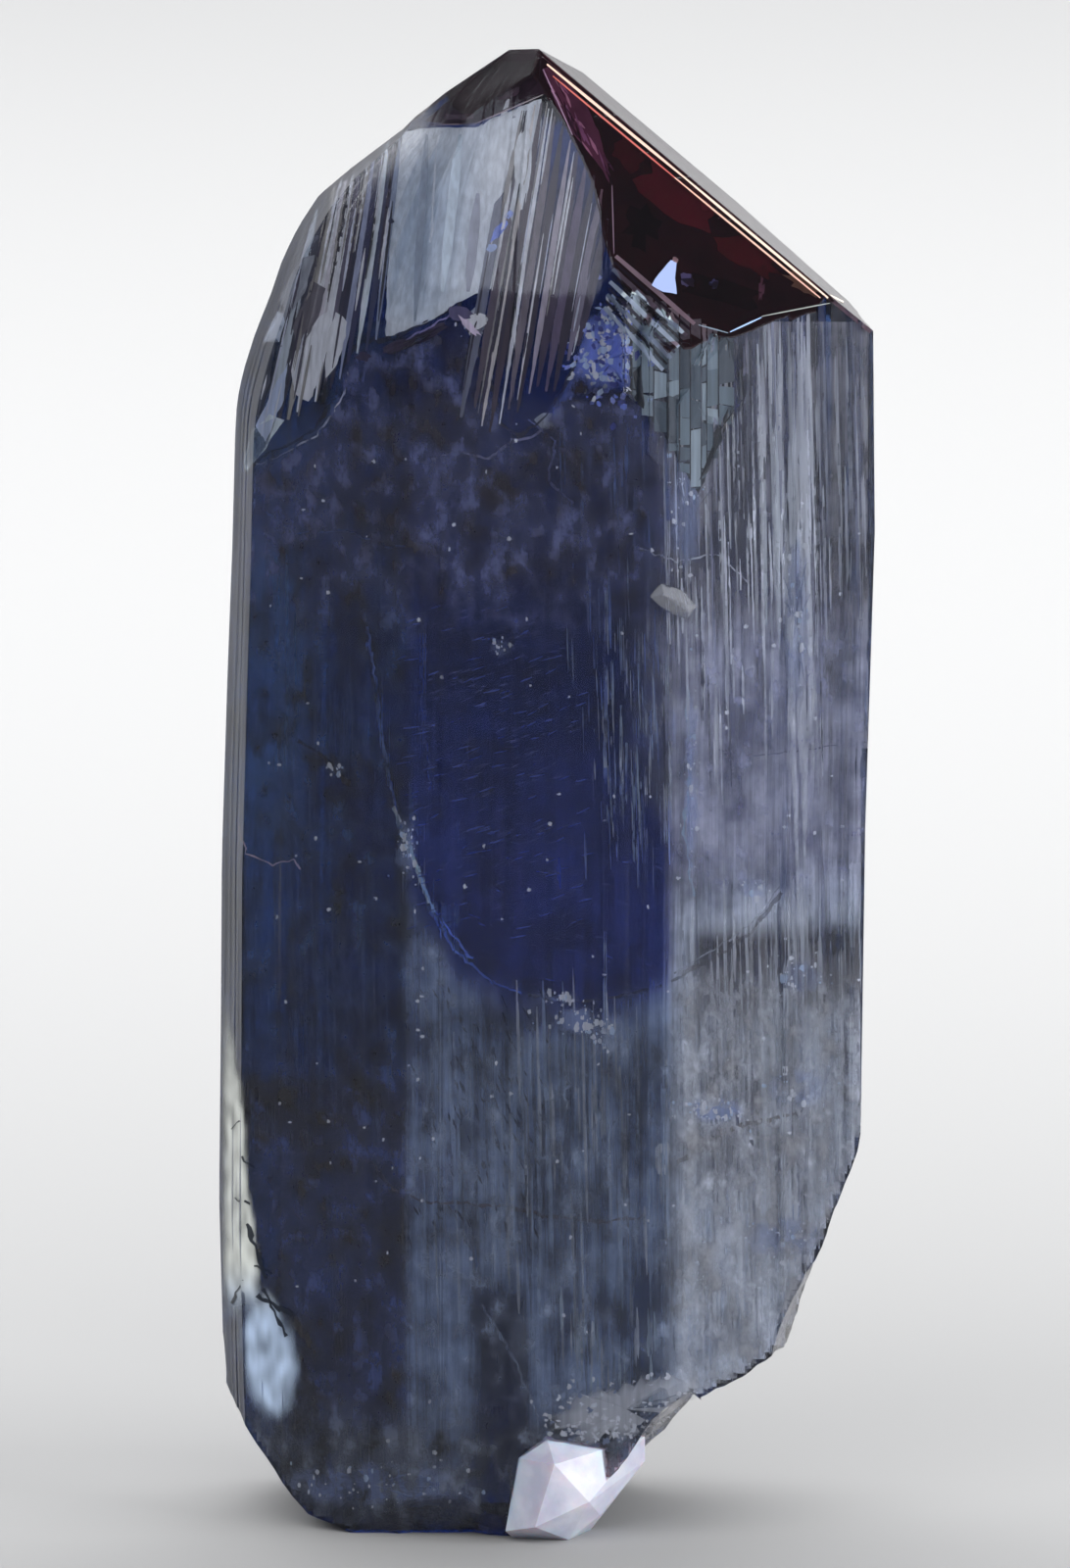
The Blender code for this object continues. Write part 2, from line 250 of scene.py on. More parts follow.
def section_points():
    """Points round the section.

    Each has its place, its outward direction, its rib's level and phase, its stria's relief and turn, and how
    far round the section it lies.
    """
    rng = random.Random(41)
    fine = random.Random(7)
    points = []
    travelled = 0.0
    for index, (corner, widths, depth) in enumerate(SECTION):
        a = Vector(corner)
        b = Vector(SECTION[(index + 1) % len(SECTION)][0])
        along = (b - a).normalized()
        outward = Vector((along.y, -along.x))
        points.append((a, outward, 0.0, 0.0, 0.0, 0.0, travelled))
        for start, end, level, tilt, phase in ribs_of_face((b - a).length, widths, depth, rng):
            place, last = start + RISER, end - RISER
            while place < last:
                step = min(fine.uniform(*STRIA_WIDTHS), last - place)
                if last - place - step < STRIA_LEAST:
                    step = last - place
                relief = fine.uniform(-STRIA_RELIEF, STRIA_RELIEF)
                turn = fine.uniform(0, 50)
                edge = min(STRIA_EDGE, 0.2 * step)
                for at in (place + edge, place + step - edge):
                    share = (at - start - RISER) / (last - start - RISER)
                    near_corner = min(1.0, min(at, (b - a).length - at) / CORNER_RAMP)
                    height = (level - tilt + 2 * tilt * share) * near_corner
                    points.append((a + along * at, outward, height, phase, relief, turn, travelled + at))
                place += step
        travelled += (b - a).length
    return points


def eased(table, height):
    """The value of a table at a height, with its kinks rounded off."""
    return sum(between(table, height + step) for step in EASE_STEPS) / len(EASE_STEPS)


def shaped(point, height):
    """A section point moved to where the crystal's sides stand at this height."""
    if point.x < SPLIT_X:
        share = (between(LEFT_SIDE, height) - SPLIT_X) / (-SECTION_HALF - SPLIT_X)
        place = (point.x - SPLIT_X) / (-SECTION_HALF - SPLIT_X)
        bunched = share * (1 - max(0.0, 1 - place) ** (1 / share))
        x = SPLIT_X - (SECTION_HALF + SPLIT_X) * (0.75 * bunched + 0.25 * share * place)
    else:
        reach = between(RIGHT_SIDE, height) - SPLIT_X
        x = SPLIT_X + (point.x - SPLIT_X) * reach / (SECTION_HALF - SPLIT_X)
    lean = eased(FRONT_LEAN if point.y < 0 else REAR_LEAN, height)
    share = min(1.0, max(0.0, (LEAN_FROM_X - x) / (LEAN_FROM_X - LEAN_FULL_X)))
    return Vector((x, point.y * (1 - (1 - lean) * share), height))


def ring_heights():
    """Heights of the rings: close together where the shoulder curves, further apart on the body."""
    heights = []
    height = 0.0
    while height < CROWN_RINGS_FROM:
        heights.append(height)
        height += BODY_RING_STEP
    height = CROWN_RINGS_FROM
    while height < LOFT_TOP:
        heights.append(height)
        height += CROWN_RING_STEP
    heights.append(LOFT_TOP)
    return heights


def loft_prism():
    """The striated prism as one closed loft, with its run round the section and its height as UVs."""
    mesh = bmesh.new()
    growth = mesh.loops.layers.uv.new("growth")
    section = section_points()
    worn_corner = Vector(SECTION[WORN_SIDE][0])
    worn_from = min(i for i, point in enumerate(section) if (point[0] - worn_corner).length < 1e-6)
    heights = ring_heights()
    rings = []
    for height in heights:
        ring = []
        for place, outward, level, phase, relief, turn, _ in section:
            worn = level * (0.7 + 0.3 * math.sin(0.21 * height + phase))
            shown = 0.5 + 0.9 * noise.noise(Vector((turn, height / 4.0, 3.0)))
            calm = 1 - CALM_SHARE * ramp(height, CALM_FROM, CALM_FULL)
            ring.append(mesh.verts.new(shaped(place + outward * (worn + calm * relief * shown), height)))
        rings.append(ring)
    round_length = section[-1][6] + 0.05
    for level_index, (lower, upper) in enumerate(zip(rings, rings[1:])):
        low, high = heights[level_index], heights[level_index + 1]
        for i in range(len(section)):
            j = (i + 1) % len(section)
            face = mesh.faces.new((lower[i], lower[j], upper[j], upper[i]))
            face.material_index = WORN if i >= worn_from else PRISM
            start = section[i][6]
            end = section[j][6] if j else round_length
            for loop, at in zip(face.loops, ((start, low), (end, low), (end, high), (start, high))):
                loop[growth].uv = at
    mesh.faces.new(list(reversed(rings[0])))
    mesh.faces.new(rings[-1])
    return mesh


def cut_flat(mesh, point, direction, kind=CROWN):
    """Cuts everything beyond a plane away and closes the cut with one flat face of the given kind."""
    cut = bmesh.ops.bisect_plane(
        mesh,
        geom=mesh.verts[:] + mesh.edges[:] + mesh.faces[:],
        dist=1e-5,
        plane_co=point,
        plane_no=direction,
        clear_outer=True,
    )
    rim = [item for item in cut["geom_cut"] if isinstance(item, bmesh.types.BMEdge)]
    for face in bmesh.ops.contextual_create(mesh, geom=rim)["faces"]:
        face.material_index = kind


def finish_object(mesh, name):
    """Turns a bmesh in millimetres into an object in metres, its faces turned outwards."""
    mesh.normal_update()
    bmesh.ops.recalc_face_normals(mesh, faces=mesh.faces)
    if mesh.calc_volume(signed=True) < 0:
        bmesh.ops.reverse_faces(mesh, faces=mesh.faces)
    return sheet_object(mesh, name)


def sheet_object(mesh, name):
    """Turns an open or closed bmesh in millimetres into an object in metres."""
    mesh.transform(Matrix.Scale(MM, 4) @ Matrix.Translation(TO_ORIGIN))
    data = bpy.data.meshes.new(name)
    mesh.to_mesh(data)
    mesh.free()
    obj = bpy.data.objects.new(name, data)
    bpy.context.scene.collection.objects.link(obj)
    return obj


def rough_break(name, point, direction, half_length, roughness, seed):
    """A block whose near face is a rough break, for cutting a broken face."""
    mesh = bmesh.new()
    along, across = round(2 * half_length / BREAK_CELL), round(2 * BREAK_REACH / BREAK_CELL)
    bmesh.ops.create_grid(mesh, x_segments=along, y_segments=across, size=1)
    for vert in mesh.verts:
        vert.co = (vert.co.x * half_length, vert.co.y * BREAK_REACH, 0)
    near = mesh.verts[:]
    made = bmesh.ops.extrude_face_region(mesh, geom=mesh.faces[:])
    far = [item for item in made["geom"] if isinstance(item, bmesh.types.BMVert)]
    bmesh.ops.translate(mesh, verts=far, vec=(0, 0, BREAK_REACH))
    for vert in near:
        place = vert.co + Vector((0, 0, 37.0 * seed))
        broad = noise.noise(place / 3.1)
        fine = noise.noise(place / 1.1 + Vector((9.0, 0, 0)))
        grain = noise.noise(place / 0.45)
        vert.co.z += roughness * (2.2 * broad + 1.0 * fine + 0.35 * grain)
    outward = Vector(direction).normalized()
    slope = Vector((0, 1, 0)).cross(outward).normalized()
    turn = Matrix((slope, outward.cross(slope), outward)).transposed().to_4x4()
    mesh.transform(Matrix.Translation(point) @ turn)
    return finish_object(mesh, name)


def chip_cutter(index, centre, radius):
    """A slightly uneven ball, for knocking a shell-shaped chip out of an edge."""
    mesh = bmesh.new()
    bmesh.ops.create_icosphere(mesh, subdivisions=4, radius=radius)
    for vert in mesh.verts:
        vert.co *= 1 + CHIP_ROUGHNESS * noise.noise(vert.co / 1.3 + Vector((5.0 * index, 0, 0)))
    mesh.transform(Matrix.Translation(centre))
    return finish_object(mesh, f"chip_{index:02d}")


def plate(index, centre, width, height, stand_out):
    """A thin six-sided growth plate with pointed ends, half sunk in the prism."""
    half, end = width / 2, height / 2
    point = min(half, 0.3 * height)
    outline = [
        (-half, point - end), (0.1 * half, -end), (half, point - end),
        (half, end - 0.6 * point), (-0.2 * half, end), (-half, end - point),
    ]
    mesh = bmesh.new()
    face = mesh.faces.new([mesh.verts.new((x, PLATE_SUNK, z)) for x, z in outline])
    made = bmesh.ops.extrude_face_region(mesh, geom=[face])
    front = [item for item in made["geom"] if isinstance(item, bmesh.types.BMVert)]
    bmesh.ops.translate(mesh, verts=front, vec=(0, -PLATE_SUNK - stand_out, 0))
    mesh.transform(Matrix.Translation(centre) @ Matrix.Rotation(math.radians(PLATE_TURN), 4, "Z"))
    return finish_object(mesh, f"plate_{index}")


def pale_form(inset=0.0):
    """The small pale crystal: the flat faces between its corners, each drawn in by an inset."""
    mesh = bmesh.new()
    middle = sum((Vector(corner) for corner in PALE_CORNERS), Vector()) / len(PALE_CORNERS)
    for corner in PALE_CORNERS:
        outward = Vector(corner) - middle
        mesh.verts.new(Vector(corner) - outward.normalized() * inset)
    hull = bmesh.ops.convex_hull(mesh, input=mesh.verts[:])
    inside = [item for item in hull["geom_interior"] if isinstance(item, bmesh.types.BMVert)]
    bmesh.ops.delete(mesh, geom=inside, context="VERTS")
    return mesh


def join_by_boolean(obj, others, operation):
    """Applies one exact Boolean of several helpers to a piece, and removes the helpers."""
    group = bpy.data.collections.new("helpers")
    bpy.context.scene.collection.children.link(group)
    for other in others:
        bpy.context.scene.collection.objects.unlink(other)
        group.objects.link(other)
    step = obj.modifiers.new("cut", "BOOLEAN")
    step.operation = operation
    step.operand_type = "COLLECTION"
    step.collection = group
    step.solver = "EXACT"
    graph = bpy.context.evaluated_depsgraph_get()
    result = bpy.data.meshes.new_from_object(obj.evaluated_get(graph))
    obj.modifiers.clear()
    obj.data = result
    for other in others:
        bpy.data.objects.remove(other)
    bpy.data.collections.remove(group)


@functools.cache
def crystal_skin():
    """The finished skin of the blue crystal, in the tables' millimetres, for finding places behind it."""
    data = bpy.data.objects["blue_crystal"].data
    corners = [vert.co / MM - Vector(TO_ORIGIN) for vert in data.vertices]
    return BVHTree.FromPolygons(corners, [face.vertices for face in data.polygons])


# The depth of what lies just outside the skin.
ON_SKIN = -0.01
# Far enough out to be outside the crystal, and far enough in to be past the skin, in millimetres.
OUTSIDE = 60
PAST_SKIN = 0.02
# Blender seeds its vector noise by the clock, so the ragged outlines are given a seed of their own.
OUTLINE_SEED = 13


def seen(px, py, depth=0.0, turn=0.0):
    """The place that shows at a pixel of the photograph's frame, at a depth behind the skin, or None.

    The line of sight bends at the skin. A depth below zero lies on the outside of the skin. A turn in
    degrees looks from another side, with the same frame, at what the front view doesn't show.
    """
    angle = math.radians(CAMERA_ANGLE)
    front = Vector((0, math.cos(angle), -math.sin(angle)))
    around = Matrix.Rotation(math.radians(turn), 3, "Z")
    forward = around @ front
    up = around @ Vector((0, math.sin(angle), math.cos(angle)))
    across, rise = (px - PHOTO_FOOT[0]) * MM_PER_PIXEL, (PHOTO_FOOT[1] - py) * MM_PER_PIXEL
    start = around @ Vector((across, 0, 0)) + up * rise - forward * OUTSIDE
    place, normal, _, _ = crystal_skin().ray_cast(start, forward)
    if place is None or (turn and front.dot(normal) < 0):
        return None
    if depth < 0:
        return place - normal * depth
    cosine = -forward.dot(normal)
    bend = cosine / REFRACTION - math.sqrt(1 - (1 - cosine**2) / REFRACTION**2)
    inward = forward / REFRACTION + normal * bend
    _, _, _, thickness = crystal_skin().ray_cast(place + inward * PAST_SKIN, inward)
    return place + inward * min(depth, 0.5 * (thickness or 0.0))


class Sheets:
    """Thin flat pieces inside the crystal, each with its own tone and cover, gathered in one mesh.

    Places and widths are in the photograph's frame, and depths are in millimetres behind the skin.
    """

    def __init__(self, turn=0.0):
        self.mesh = bmesh.new()
        self.layer = self.mesh.loops.layers.float_color.new("tone")
        self.turn = turn
        noise.seed_set(OUTLINE_SEED)

    def seen(self, px, py, depth):
        return seen(px, py, depth, self.turn)

    def face(self, points, tones):
        """One face. Points that no line of sight reaches are left out."""
        kept = [(point, tone) for point, tone in zip(points, tones) if point is not None]
        if len(kept) < 3:
            return
        made = self.mesh.faces.new([self.mesh.verts.new(point) for point, _ in kept])
        for loop, (_, tone) in zip(made.loops, kept):
            loop[self.layer] = tone

    def strip(self, path, tone):
        """A band through (px, py, half width in px, depth) stations, at right angles to its run."""
        rows = []
        for i, (px, py, half, depth) in enumerate(path):
            before, after = path[max(i - 1, 0)], path[min(i + 1, len(path) - 1)]
            run = Vector((after[0] - before[0], after[1] - before[1])).normalized()
            side = Vector((-run.y, run.x)) * half
            left = self.seen(px - side.x, py - side.y, depth)
            rows.append((left, self.seen(px + side.x, py + side.y, depth)))
        for (a, b), (c, d) in zip(rows, rows[1:]):
            self.face((a, b, d, c), [tone] * 4)

    def patch(self, outline, depth, tone, ragged=1.5, seed=0):
        """A flat patch with a slightly ragged outline of (px, py) points."""
        points = [self.seen(px, py, depth) for px, py in self.ragged_outline(outline, ragged, seed)]
        self.face(points, [tone] * len(points))

    def ragged_outline(self, outline, ragged, seed):
        """An outline with a point about every 7 px, each moved a little by noise."""
        points = []
        for (ax, ay), (bx, by) in zip(outline, outline[1:] + outline[:1]):
            steps = max(1, round(math.hypot(bx - ax, by - ay) / 7))
            for k in range(steps):
                px, py = ax + (bx - ax) * k / steps, ay + (by - ay) * k / steps
                shift = noise.noise_vector(Vector((px / 6, py / 6, 3.7 * seed))) * ragged
                points.append((px + shift.x, py + shift.y))
        return points

    def glow(self, outline, depth, tone, ragged=1.5, seed=0):
        """A patch that is full in its middle and fades out towards its rim."""
        rim = self.ragged_outline(outline, ragged, seed)
        middle = (sum(px for px, _ in rim) / len(rim), sum(py for _, py in rim) / len(rim))
        rings = []
        for share, cover in ((0.0, 1.0), (0.62, 0.95), (0.85, 0.6), (1.0, 0.0)):
            ring = [
                (middle[0] + (px - middle[0]) * share, middle[1] + (py - middle[1]) * share) for px, py in rim
            ]
            rings.append(([self.seen(px, py, depth) for px, py in ring], (*tone[:3], tone[3] * cover)))
        for (inner, inner_tone), (outer, outer_tone) in zip(rings, rings[1:]):
            for i in range(len(rim)):
                j = (i + 1) % len(rim)
                corners = [(outer[i], outer_tone), (outer[j], outer_tone), (inner[j], inner_tone)]
                if inner is not rings[0][0]:
                    corners.append((inner[i], inner_tone))
                self.face([point for point, _ in corners], [shade for _, shade in corners])

    def line(self, start, end, half, depth, tone, taper=0.3):
        """A thin straight line that is widest in its middle."""
        (ax, ay), (bx, by) = start, end
        steps = max(2, round(math.hypot(bx - ax, by - ay) / 14))
        path = []
        for k in range(steps + 1):
            share = k / steps
            wide = taper + (1 - taper) * min(1.0, 4 * share, 4 * (1 - share))
            path.append((ax + (bx - ax) * share, ay + (by - ay) * share, half * wide, depth))
        self.strip(path, tone)

    def crack(self, line, half, depth, tone, seed=0):
        """A thin jagged line of changing width through (px, py) points."""
        path = []
        for (ax, ay), (bx, by) in zip(line, line[1:]):
            steps = max(1, round(math.hypot(bx - ax, by - ay) / 6))
            for k in range(steps):
                px, py = ax + (bx - ax) * k / steps, ay + (by - ay) * k / steps
                shift = noise.noise_vector(Vector((px / 7, py / 7, 2.3 * seed))) * 3.2
                wide = 0.35 + 1.3 * abs(noise.noise(Vector((px / 11, py / 11, 9.1 * seed))))
                path.append((px + shift.x, py + shift.y, half * wide, depth))
        self.strip(path, tone)

    def blot(self, px, py, half_width, half_height, depth, tone, seed, raggedness=0.35, sides=22, turn=0.0):
        """A ragged patch round a pixel."""
        points = []
        for i in range(sides):
            angle = 2 * math.pi * i / sides
            wave = noise.noise(Vector((2.2 * math.cos(angle), 2.2 * math.sin(angle), 11.0 * seed)))
            ragged = 1 + 2 * raggedness * wave
            x, y = half_width * ragged * math.cos(angle), half_height * ragged * math.sin(angle)
            across, down = x * math.cos(turn) - y * math.sin(turn), x * math.sin(turn) + y * math.cos(turn)
            points.append(self.seen(px + across, py + down, depth))
        self.face(points, [tone] * sides)

    def veil(self, left, top, right, bottom, step, look):
        """A fine net over a frame of pixels. look gives each knot's depth and tone."""
        columns = max(1, round((right - left) / step))
        rows = max(1, round((bottom - top) / step))
        knots = {}
        for row in range(rows + 1):
            for column in range(columns + 1):
                px = left + (right - left) * column / columns
                py = top + (bottom - top) * row / rows
                depth, tone = look(px, py)
                place = self.seen(px, py, depth)
                if place is not None:
                    knots[row, column] = (self.mesh.verts.new(place), tone)
        for row in range(rows):
            for column in range(columns):
                square = [knots.get((row + i, column + j)) for i, j in ((0, 0), (1, 0), (1, 1), (0, 1))]
                if None in square or max(tone[3] for _, tone in square) <= 0:
                    continue
                made = self.mesh.faces.new([vert for vert, _ in square])
                for loop, (_, tone) in zip(made.loops, square):
                    loop[self.layer] = tone

    def finish(self, name, material):
        """Makes the sheets one named piece of the crystal, with its material."""
        loose = [vert for vert in self.mesh.verts if not vert.link_faces]
        bmesh.ops.delete(self.mesh, geom=loose, context="VERTS")
        piece = sheet_object(self.mesh, name)
        piece.data.materials.append(material)
        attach(piece, "root")
        return piece


def ramp(value, low, high):
    """0 below low, 1 above high, and a smooth rise between them."""
    share = min(1.0, max(0.0, (value - low) / (high - low)))
    return share * share * (3 - 2 * share)


def tone_of(code, cover=1.0, gain=INNER_GAIN):
    """The tone of a piece inside the crystal, from how it should look there and how much it covers."""
    return (*(min(0.92, channel * gain) for channel in hex_to_linear(code)), cover)


def cleavage_films_and_painted_reflections():
    """Thin films in the crystal, each in the tone that it is given.

    Some are cracks, inclusions and growth lines, and the silvery ones are painted reflections. All are
    streaked along the growth lines.
    """
    material, tree, output = new_material("cleavage_and_painted_reflection_films")
    tone = add_node(tree, "ShaderNodeAttribute", {"attribute_name": "tone"})
    place = add_node(tree, "ShaderNodeTexCoord")
    # Streaks 0.125 mm wide and 2 mm long.
    streak = add_node(
        tree, "ShaderNodeMapping", {"Scale": per_metre(0.125, 0.125, 2.0)}, {0: place.outputs["Object"]}
    )
    streaks = add_node(
        tree, "ShaderNodeTexNoise", {"Scale": 1.0, "Detail": 3.0}, {"Vector": streak.outputs[0]}
    )
    light = add_node(
        tree,
        "ShaderNodeMapRange",
        {"From Min": 0.35, "From Max": 0.65, "To Min": 0.82, "To Max": 1.12},
        {"Value": streaks.outputs[0]},
    )
    colour = add_node(
        tree,
        "ShaderNodeVectorMath",
        {"operation": "SCALE"},
        {0: tone.outputs["Color"], "Scale": light.outputs[0]},
    )
    shader = add_node(
        tree,
        "ShaderNodeBsdfPrincipled",
        {"Roughness": 0.42, "Metallic": 0.1},
        {"Base Color": colour.outputs[0], "Alpha": tone.outputs["Alpha"]},
    )
    tree.links.new(shader.outputs[0], output.inputs["Surface"])
    return material


def healed_veil():
    """A healed crack full of fluid drops too small to see one by one, so it reads as a streaky grey veil.

    Down the right face its tones are partly a painted sheen.
    """
    material, tree, output = new_material("healed_fracture_veil")
    tone = add_node(tree, "ShaderNodeAttribute", {"attribute_name": "tone"})
    place = add_node(tree, "ShaderNodeTexCoord")
    # Drops drawn out along the growth lines, in rows 0.24 mm apart and 8.3 mm long.
    row = add_node(
        tree, "ShaderNodeMapping", {"Scale": per_metre(0.238, 0.238, 8.33)}, {0: place.outputs["Object"]}
    )
    rows = add_node(
        tree,
        "ShaderNodeTexNoise",
        {"Scale": 1.0, "Detail": 5.0, "Roughness": 0.72},
        {"Vector": row.outputs[0]},
    )
    # Clouds 1.5 mm across, which thin the veil out here and there.
    clouds = add_node(
        tree,
        "ShaderNodeTexNoise",
        {"Scale": per_metre(1.54)[0], "Detail": 4.0},
        {"Vector": place.outputs["Object"]},
    )
    streaked = add_node(
        tree,
        "ShaderNodeMapRange",
        {"From Min": 0.36, "From Max": 0.66, "To Min": 0.45, "To Max": 1.55},
        {"Value": rows.outputs[0]},
    )
    clouded = add_node(
        tree,
        "ShaderNodeMapRange",
        {"From Min": 0.35, "From Max": 0.65, "To Min": 0.45, "To Max": 1.45},
        {"Value": clouds.outputs[0]},
    )
    cover = add_node(
        tree, "ShaderNodeMath", {"operation": "MULTIPLY"}, {0: streaked.outputs[0], 1: clouded.outputs[0]}
    )
    alpha = add_node(
        tree,
        "ShaderNodeMath",
        {"operation": "MULTIPLY", "use_clamp": True},
        {0: cover.outputs[0], 1: tone.outputs["Alpha"]},
    )
    shader = add_node(
        tree,
        "ShaderNodeBsdfPrincipled",
        {"Roughness": 0.6},
        {"Base Color": tone.outputs["Color"], "Alpha": alpha.outputs[0]},
    )
    tree.links.new(shader.outputs[0], output.inputs["Surface"])
    return material


def pale_mineral():
    """Pale lilac zoisite, frosted by fine scratches and bruises, so light stays near its surface."""
    material, tree, output = new_material("pale_frosted_zoisite")
    place = add_node(tree, "ShaderNodeTexCoord")
    # Milky clouds 1.1 mm across, between two lilac whites. A Mix node's colours are its inputs 6 and 7.
    clouds = add_node(
        tree,
        "ShaderNodeTexNoise",
        {"Scale": per_metre(1.11)[0], "Detail": 4.0},
        {"Vector": place.outputs["Object"]},
    )
    share = add_node(
        tree, "ShaderNodeMapRange", {"From Min": 0.35, "From Max": 0.7}, {"Value": clouds.outputs[0]}
    )
    colour = add_node(
        tree,
        "ShaderNodeMix",
        {"data_type": "RGBA", 6: (*hex_to_linear("B4B8CC"), 1), 7: (*hex_to_linear("DEDFEA"), 1)},
        {0: share.outputs[0]},
    )
    # Bruises 0.19 mm across and at most 0.03 mm deep.
    bruises = add_node(
        tree,
        "ShaderNodeTexNoise",
        {"Scale": per_metre(0.192)[0], "Detail": 3.0},
        {"Vector": place.outputs["Object"]},
    )
    bump = add_node(
        tree, "ShaderNodeBump", {"Strength": 0.25, "Distance": 0.03 * MM}, {"Height": bruises.outputs[0]}
    )
    shader = add_node(
        tree,
        "ShaderNodeBsdfPrincipled",
        {"Roughness": 0.38, "IOR": REFRACTION, "Subsurface Weight": 0.6, "Subsurface Scale": 1.2 * MM},
        {"Base Color": colour.outputs[2], "Normal": bump.outputs[0]},
    )
    tree.links.new(shader.outputs[0], output.inputs["Surface"])
    return material


def clear_mineral():
    """A clear colourless splinter of zoisite, with sharp edges that catch the light."""
    material, tree, output = new_material("clear_zoisite_splinter")
    shader = add_node(
        tree,
        "ShaderNodeBsdfPrincipled",
        {
            "Base Color": (*hex_to_linear("CCD0DC"), 1),
            "Roughness": 0.1,
            "IOR": REFRACTION,
            "Transmission Weight": 0.75,
        },
    )
    tree.links.new(shader.outputs[0], output.inputs["Surface"])
    return material


def burgundy_and_glint_zone():
    """Colour zones right under the crown's skin, dark burgundy because that growth took up other metals.

    Some of its tones are painted glints and painted reflections of the crown's steps.
    """
    material, tree, output = new_material("burgundy_growth_and_glint_zone")
    tone = add_node(tree, "ShaderNodeAttribute", {"attribute_name": "tone"})
    place = add_node(tree, "ShaderNodeTexCoord")
    # Smoky clouds 1.1 mm across.
    clouds = add_node(
        tree,
        "ShaderNodeTexNoise",
        {"Scale": per_metre(1.11)[0], "Detail": 4.0},
        {"Vector": place.outputs["Object"]},
    )
    light = add_node(
        tree,
        "ShaderNodeMapRange",
        {"From Min": 0.35, "From Max": 0.65, "To Min": 0.75, "To Max": 1.25},
        {"Value": clouds.outputs[0]},
    )
    colour = add_node(
        tree,
        "ShaderNodeVectorMath",
        {"operation": "SCALE"},
        {0: tone.outputs["Color"], "Scale": light.outputs[0]},
    )
    shader = add_node(
        tree,
        "ShaderNodeBsdfPrincipled",
        {"Roughness": 0.7, "Specular IOR Level": 0.1},
        {"Base Color": colour.outputs[0], "Alpha": tone.outputs["Alpha"]},
    )
    tree.links.new(shader.outputs[0], output.inputs["Surface"])
    return material


def painted_light_film():
    """A film on the skin whose tone is painted light: highlights along edges, and light that comes through an
    edge.
    """
    material, tree, output = new_material("painted_light_skin_film")
    tone = add_node(tree, "ShaderNodeAttribute", {"attribute_name": "tone"})
    shader = add_node(
        tree,
        "ShaderNodeBsdfPrincipled",
        {"Roughness": 0.6, "Specular IOR Level": 0.2},
        {"Base Color": tone.outputs["Color"], "Alpha": tone.outputs["Alpha"]},
    )
    tree.links.new(shader.outputs[0], output.inputs["Surface"])
    return material


def cloudy_veil():
    """Wisps of tiny inclusions of many kinds, which mottle the clear crystal like smoke."""
    material, tree, output = new_material("wispy_inclusion_clouds")
    tone = add_node(tree, "ShaderNodeAttribute", {"attribute_name": "tone"})
    place = add_node(tree, "ShaderNodeTexCoord")
    # Wisps 0.39 mm across and 0.67 mm long, drawn out a little along the growth lines, with a fine grain.
    wisp = add_node(
        tree, "ShaderNodeMapping", {"Scale": per_metre(0.385, 0.385, 0.667)}, {0: place.outputs["Object"]}
    )
    wisps = add_node(
        tree,
        "ShaderNodeTexNoise",
        {"Scale": 1.0, "Detail": 6.0, "Roughness": 0.7},
        {"Vector": wisp.outputs[0]},
    )
    cover = add_node(
        tree,
        "ShaderNodeMapRange",
        {"From Min": 0.36, "From Max": 0.64, "To Min": 0.15, "To Max": 1.7},
        {"Value": wisps.outputs[0]},
    )
    alpha = add_node(
        tree,
        "ShaderNodeMath",
        {"operation": "MULTIPLY", "use_clamp": True},
        {0: cover.outputs[0], 1: tone.outputs["Alpha"]},
    )
    shader = add_node(
        tree,
        "ShaderNodeBsdfPrincipled",
        {"Roughness": 0.5},
        {"Base Color": tone.outputs["Color"], "Alpha": alpha.outputs[0]},
    )
    tree.links.new(shader.outputs[0], output.inputs["Surface"])
    return material


